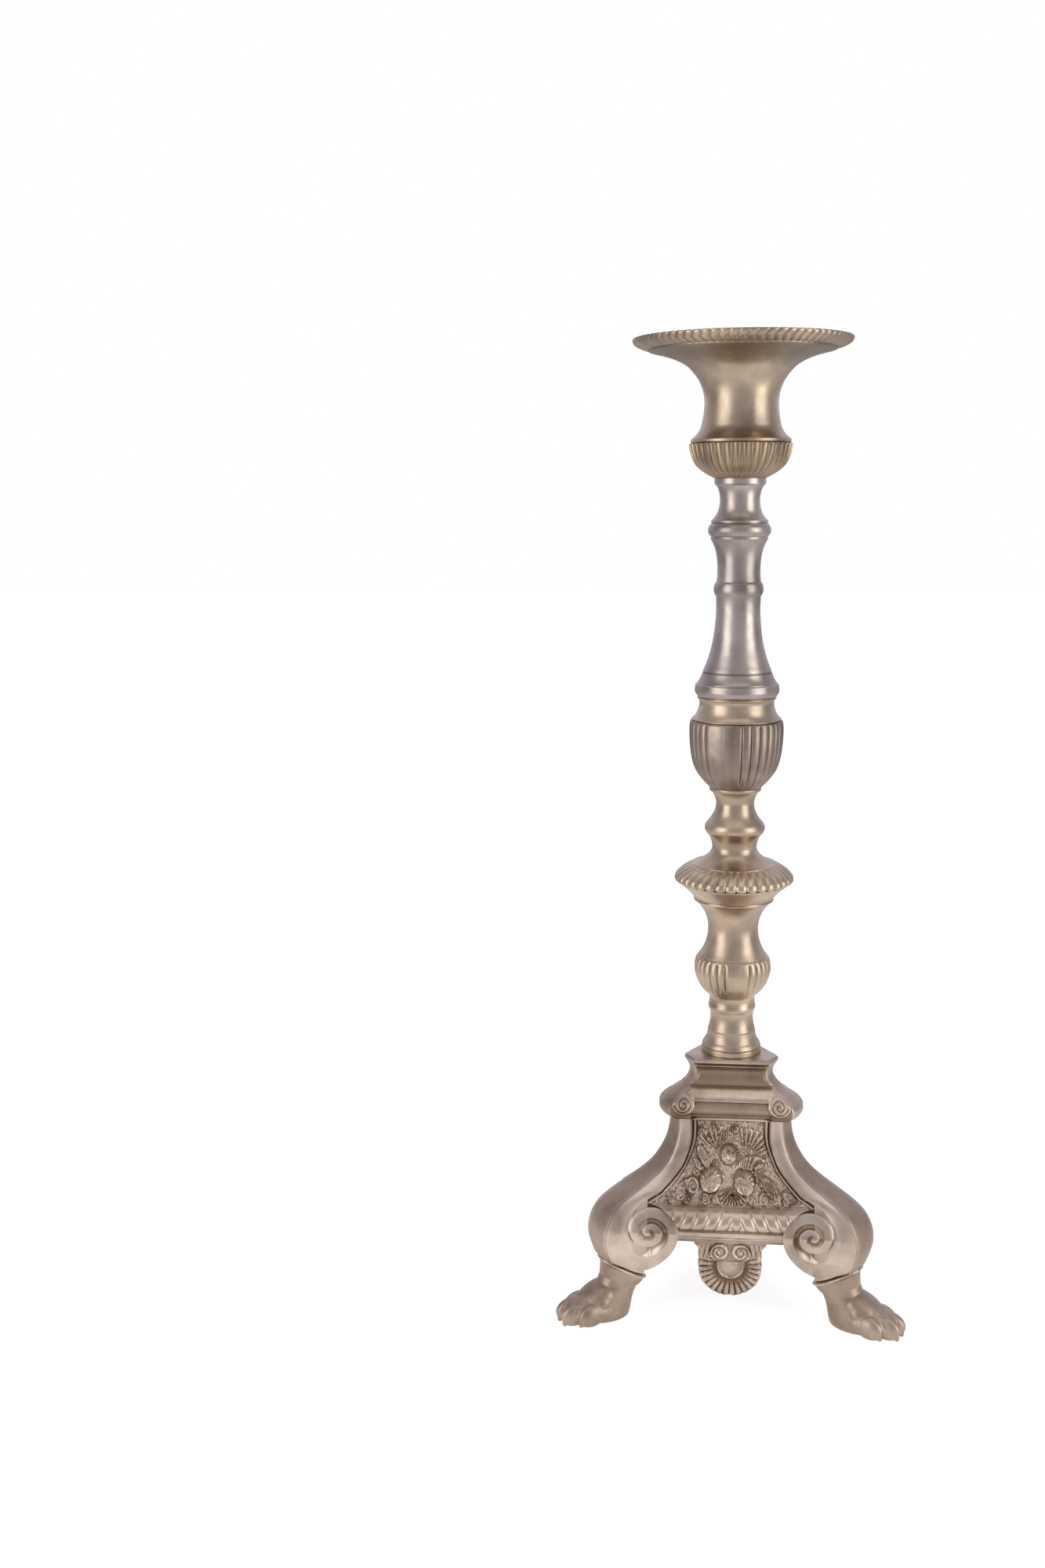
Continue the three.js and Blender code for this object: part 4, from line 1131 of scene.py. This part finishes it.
def panel(name, azimuth, seed):
    step, top = 0.42, 129.4
    zs = np.concatenate([np.arange(PENDANT_END, 58.5, step), [58.58, 58.62],
                         np.arange(58.9, top, step), [top]])
    t = np.linspace(-1, 1, 241)
    zz, tt = np.meshgrid(zs, t, indexing="ij")
    half = panel_half(zz)
    x = tt * half
    edge = half - np.abs(x)

    moulding = through([[21, 54.6], [32, 57.6], [45, 58.4], [58.6, 58.2], [62.4, 58.7], [63, 60.3],
                        [65.6, 60.3], [66.3, 58.6], [68, 59.4], [71, 60.2], [74, 59.4],
                        [77, 57.2], [78.6, 55.2], [79.6, 53.2], [80.4, 50.6]])
    recess = 1.7 + 2.9 * smoothstep(80, 104, zz)
    base = np.where(zz < PICTURE_FOOT, moulding(zz), face_at(zz) - recess)
    h = np.zeros_like(x)
    wear_and_shade = np.full(x.shape, 0.42)

    # Gadroons slant away from the middle one.
    in_band = between(zz, 66.4, 67.0, 78.2, 79.0)
    aside = np.abs(x - 3.6)
    slant = (aside + 0.42 * (zz - 72.5) * np.sign(aside - 3)) / 7.6 + 0.5
    gadroon = lobe(slant)
    h += in_band * 1.6 * gadroon * np.sqrt(np.clip(1 - ((zz - 72.7) / 6.4) ** 2, 0, 1))
    wear_and_shade = np.where(in_band > 0.5, 0.12 + 0.5 * gadroon, wear_and_shade)
    fillet = between(zz, 62.6, 63.0, 65.7, 66.2)
    wear_and_shade = np.where(fillet > 0.5, 0.62, wear_and_shade)

    # Pendant: radiating flutes round a half disc, two small volutes above it.
    low = 1 - smoothstep(58.0, 58.6, zz)
    grain = 0.3 * texture(x, zz, seed + 2, 0.9) * low
    dx, dz = x - 0.4, zz - 43.0
    r = np.hypot(dx, dz)
    angle = np.degrees(np.arctan2(dz, dx))
    ray = lobe((angle + 5) / 12.4)
    shell_part = smoothstep(8.8, 9.6, r) * (dz < 5.5)
    h += low * shell_part * (1.7 * ray * smoothstep(8.5, 15, r) - 1.0)
    h += low * 0.9 * line(edge, 0.8, 0.6) * (0.5 + 0.5 * ray)
    disc = (1 - smoothstep(6.6, 7.0, r)) * (dz < 3.4)
    h += low * (disc * (0.5 - 0.5 * (r / 7) ** 2) + 1.2 * line(r, 7.9, 0.6) * (dz < 3.0))
    side_leaf = (np.abs(x) > 12.5) * (dz > 5.5) * low
    h += side_leaf * (1.0 * lobe((np.abs(x) - 12.3) / 3.0 + 0.08 * dz) - 0.5)
    for cx in (-6.6, 6.6):
        inside, snail = spiral_height(-np.sign(cx) * (x - cx), zz - 52.4, 6.0, 2.2, 1.9)
        h = np.where((inside > 0.4) & (zz < PENDANT_TOP), 0.35 + snail, h)
    h += grain
    wear_and_shade = np.where(zz < PENDANT_TOP, np.clip(0.22 + 0.34 * h, 0, 0.85), wear_and_shade)

    # Picture inside a raised frame.
    upper = zz > PICTURE_FOOT
    frame_bar = np.maximum(between(edge, 0.2, 0.7, 2.0, 2.5),
                           between(zz, 126.6, 127.0, 128.6, 129.2))
    image = picture(x, zz, seed)
    inside = smoothstep(2.4, 3.4, edge) * (1 - smoothstep(125.6, 126.4, zz))
    inside *= smoothstep(PICTURE_FOOT, PICTURE_FOOT + 1, zz)
    h = np.where(upper, image * inside + 2.3 * frame_bar, h)
    rubbed = np.clip(0.66 + 0.95 * crests(image, 3), 0.12, 1.0) * inside
    wear_and_shade = np.where(upper, np.clip(rubbed + 0.6 * frame_bar, 0, 0.95), wear_and_shade)

    front = np.stack([x, -(base + h), zz], axis=-1)
    sunk = np.minimum(base, face_at(np.maximum(zz, 60)) - 4.6)
    back_depth = np.where(zz < PICTURE_FOOT, sunk, base) - 3.4
    back = np.stack([x, -back_depth, zz], axis=-1)[:, ::-1]
    grid = np.concatenate([front, back], axis=1)
    worn_and_shaded = np.concatenate([wear_and_shade, np.full_like(wear_and_shade, INSIDE)], axis=1)
    base_piece(name, grid, sweep_faces(*grid.shape[:2], flip=True), worn_and_shaded, 60, azimuth)


for node in ("clamp_plate", "front_left_foot_bolt", "front_right_foot_bolt", "rear_foot_bolt"):
    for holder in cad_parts[node].material_slots:
        holder.material = FINISH["steel"]

plinth()
for where, azimuth in LEG_TURNS.items():
    leg(where + "_scroll_leg", azimuth)
    paw(where + "_paw_foot", azimuth)
for number, (where, azimuth) in enumerate(PANEL_TURNS.items()):
    panel(where + "_relief_panel", azimuth, 3.7 * number + 1.3)


# ---- stage, lights, camera

def area_light(name, centre, target, width, height, watts):
    data = bpy.data.lights.new(name, "AREA")
    data.shape = "RECTANGLE"
    data.size = width
    data.size_y = height
    data.energy = watts
    lamp = place(name, data)
    lamp.location = centre
    lamp.rotation_euler = (Vector(target) - Vector(centre)).to_track_quat("-Z", "Y").to_euler()


def stage():
    size = 8.0
    mesh = bpy.data.meshes.new("floor")
    mesh.from_pydata([(-size, -size, 0), (size, -size, 0), (size, size, 0), (-size, size, 0)], [],
                     [(0, 1, 2, 3)])
    floor = place("floor", mesh)
    material, tree, shader = node_graph("pale_floor")
    fill(shader, {"Base Color": (0.80, 0.80, 0.80, 1), "Roughness": 0.9,
                  "Specular IOR Level": 0.0, "Emission Color": (1.0, 1.0, 1.0, 1)})
    seen = add(tree, "ShaderNodeLightPath").outputs["Is Camera Ray"]
    spread = add(tree, "ShaderNodeTexGradient", gradient_type="SPHERICAL")
    tree.links.new(add(tree, "ShaderNodeTexCoord").outputs["Object"], spread.inputs["Vector"])
    near = ramp(tree, spread.outputs["Fac"], [(0.3, grey(0.06)), (0.95, grey(0.5))])
    glow = mix(tree, seen, near, (0.75, 0.75, 0.75))
    tree.links.new(glow, shader.inputs["Emission Strength"])
    mesh.materials.append(material)


def surroundings():
    """A dim grey room round the metal, with a white backdrop for the camera itself."""
    world = bpy.data.worlds.new("studio")
    bpy.context.scene.world = world
    world.use_nodes = True
    tree = world.node_tree
    background = tree.nodes["Background"]
    coords = add(tree, "ShaderNodeTexCoord").outputs["Generated"]
    split = add(tree, "ShaderNodeSeparateXYZ")
    tree.links.new(coords, split.inputs[0])
    room = ramp(tree, split.outputs["Z"], [(0.0, (0.36, 0.35, 0.39)), (0.6, (0.33, 0.32, 0.36)),
                                           (1.0, (0.50, 0.48, 0.52))])
    behind = ramp(tree, split.outputs["Y"], [(0.15, grey(0.0)), (0.85, (0.43, 0.43, 0.54))])
    room = mix(tree, 1.0, room, behind, "ADD")
    forward = add(tree, "ShaderNodeMath", operation="MULTIPLY")
    tree.links.new(split.outputs["Y"], forward.inputs[0])
    forward.inputs[1].default_value = -1.0
    ahead = ramp(tree, forward.outputs[0], [(0.5, grey(0.0)), (0.95, (0.16, 0.155, 0.17))])
    room = mix(tree, 1.0, room, ahead, "ADD")
    seen = add(tree, "ShaderNodeLightPath").outputs["Is Camera Ray"]
    tree.links.new(mix(tree, seen, room, (1.0, 1.0, 1.0)), background.inputs["Color"])
    background.inputs["Strength"].default_value = 1.0


CAMERA_BACK = 1.040  # m from the column's axis to the camera, along -y
CAMERA_SIDE = -0.0265
CAMERA_HEIGHT = 0.526
CAMERA_YAW = math.radians(6.05)
CAMERA_PITCH = math.radians(9.96)
CAMERA_ROLL = math.radians(0.37)
LENS = 37.65


def camera():
    data = bpy.data.cameras.new("camera")
    data.lens = LENS
    data.sensor_width = 36
    data.clip_start = 0.05
    data.clip_end = 60
    eye = place("camera", data)
    eye.location = (AXIS.x + CAMERA_SIDE, AXIS.y - CAMERA_BACK, CAMERA_HEIGHT)
    turn = Matrix.Rotation(CAMERA_YAW, 4, "Z") @ Matrix.Rotation(math.pi / 2 - CAMERA_PITCH, 4, "X")
    eye.rotation_euler = (turn @ Matrix.Rotation(-CAMERA_ROLL, 4, "Z")).to_euler()
    bpy.context.scene.camera = eye


def lights():
    reach = 1.3
    for side, turn, watts in ((-1, 60, 6.9), (1, 55, 7.8)):
        angle = math.radians(-90 + side * turn + 6)
        centre = (AXIS.x + reach * math.cos(angle), AXIS.y + reach * math.sin(angle), 0.62)
        area_light(f"softbox_{side}", centre, (AXIS.x, AXIS.y, 0.5), 0.78, 1.4, watts)
    area_light("overhead", (AXIS.x, AXIS.y - 0.3, 1.9), (AXIS.x, AXIS.y, 0.36), 1.6, 1.2, 4)


bpy.context.scene.view_settings.view_transform = "Standard"
stage()
surroundings()
camera()
lights()
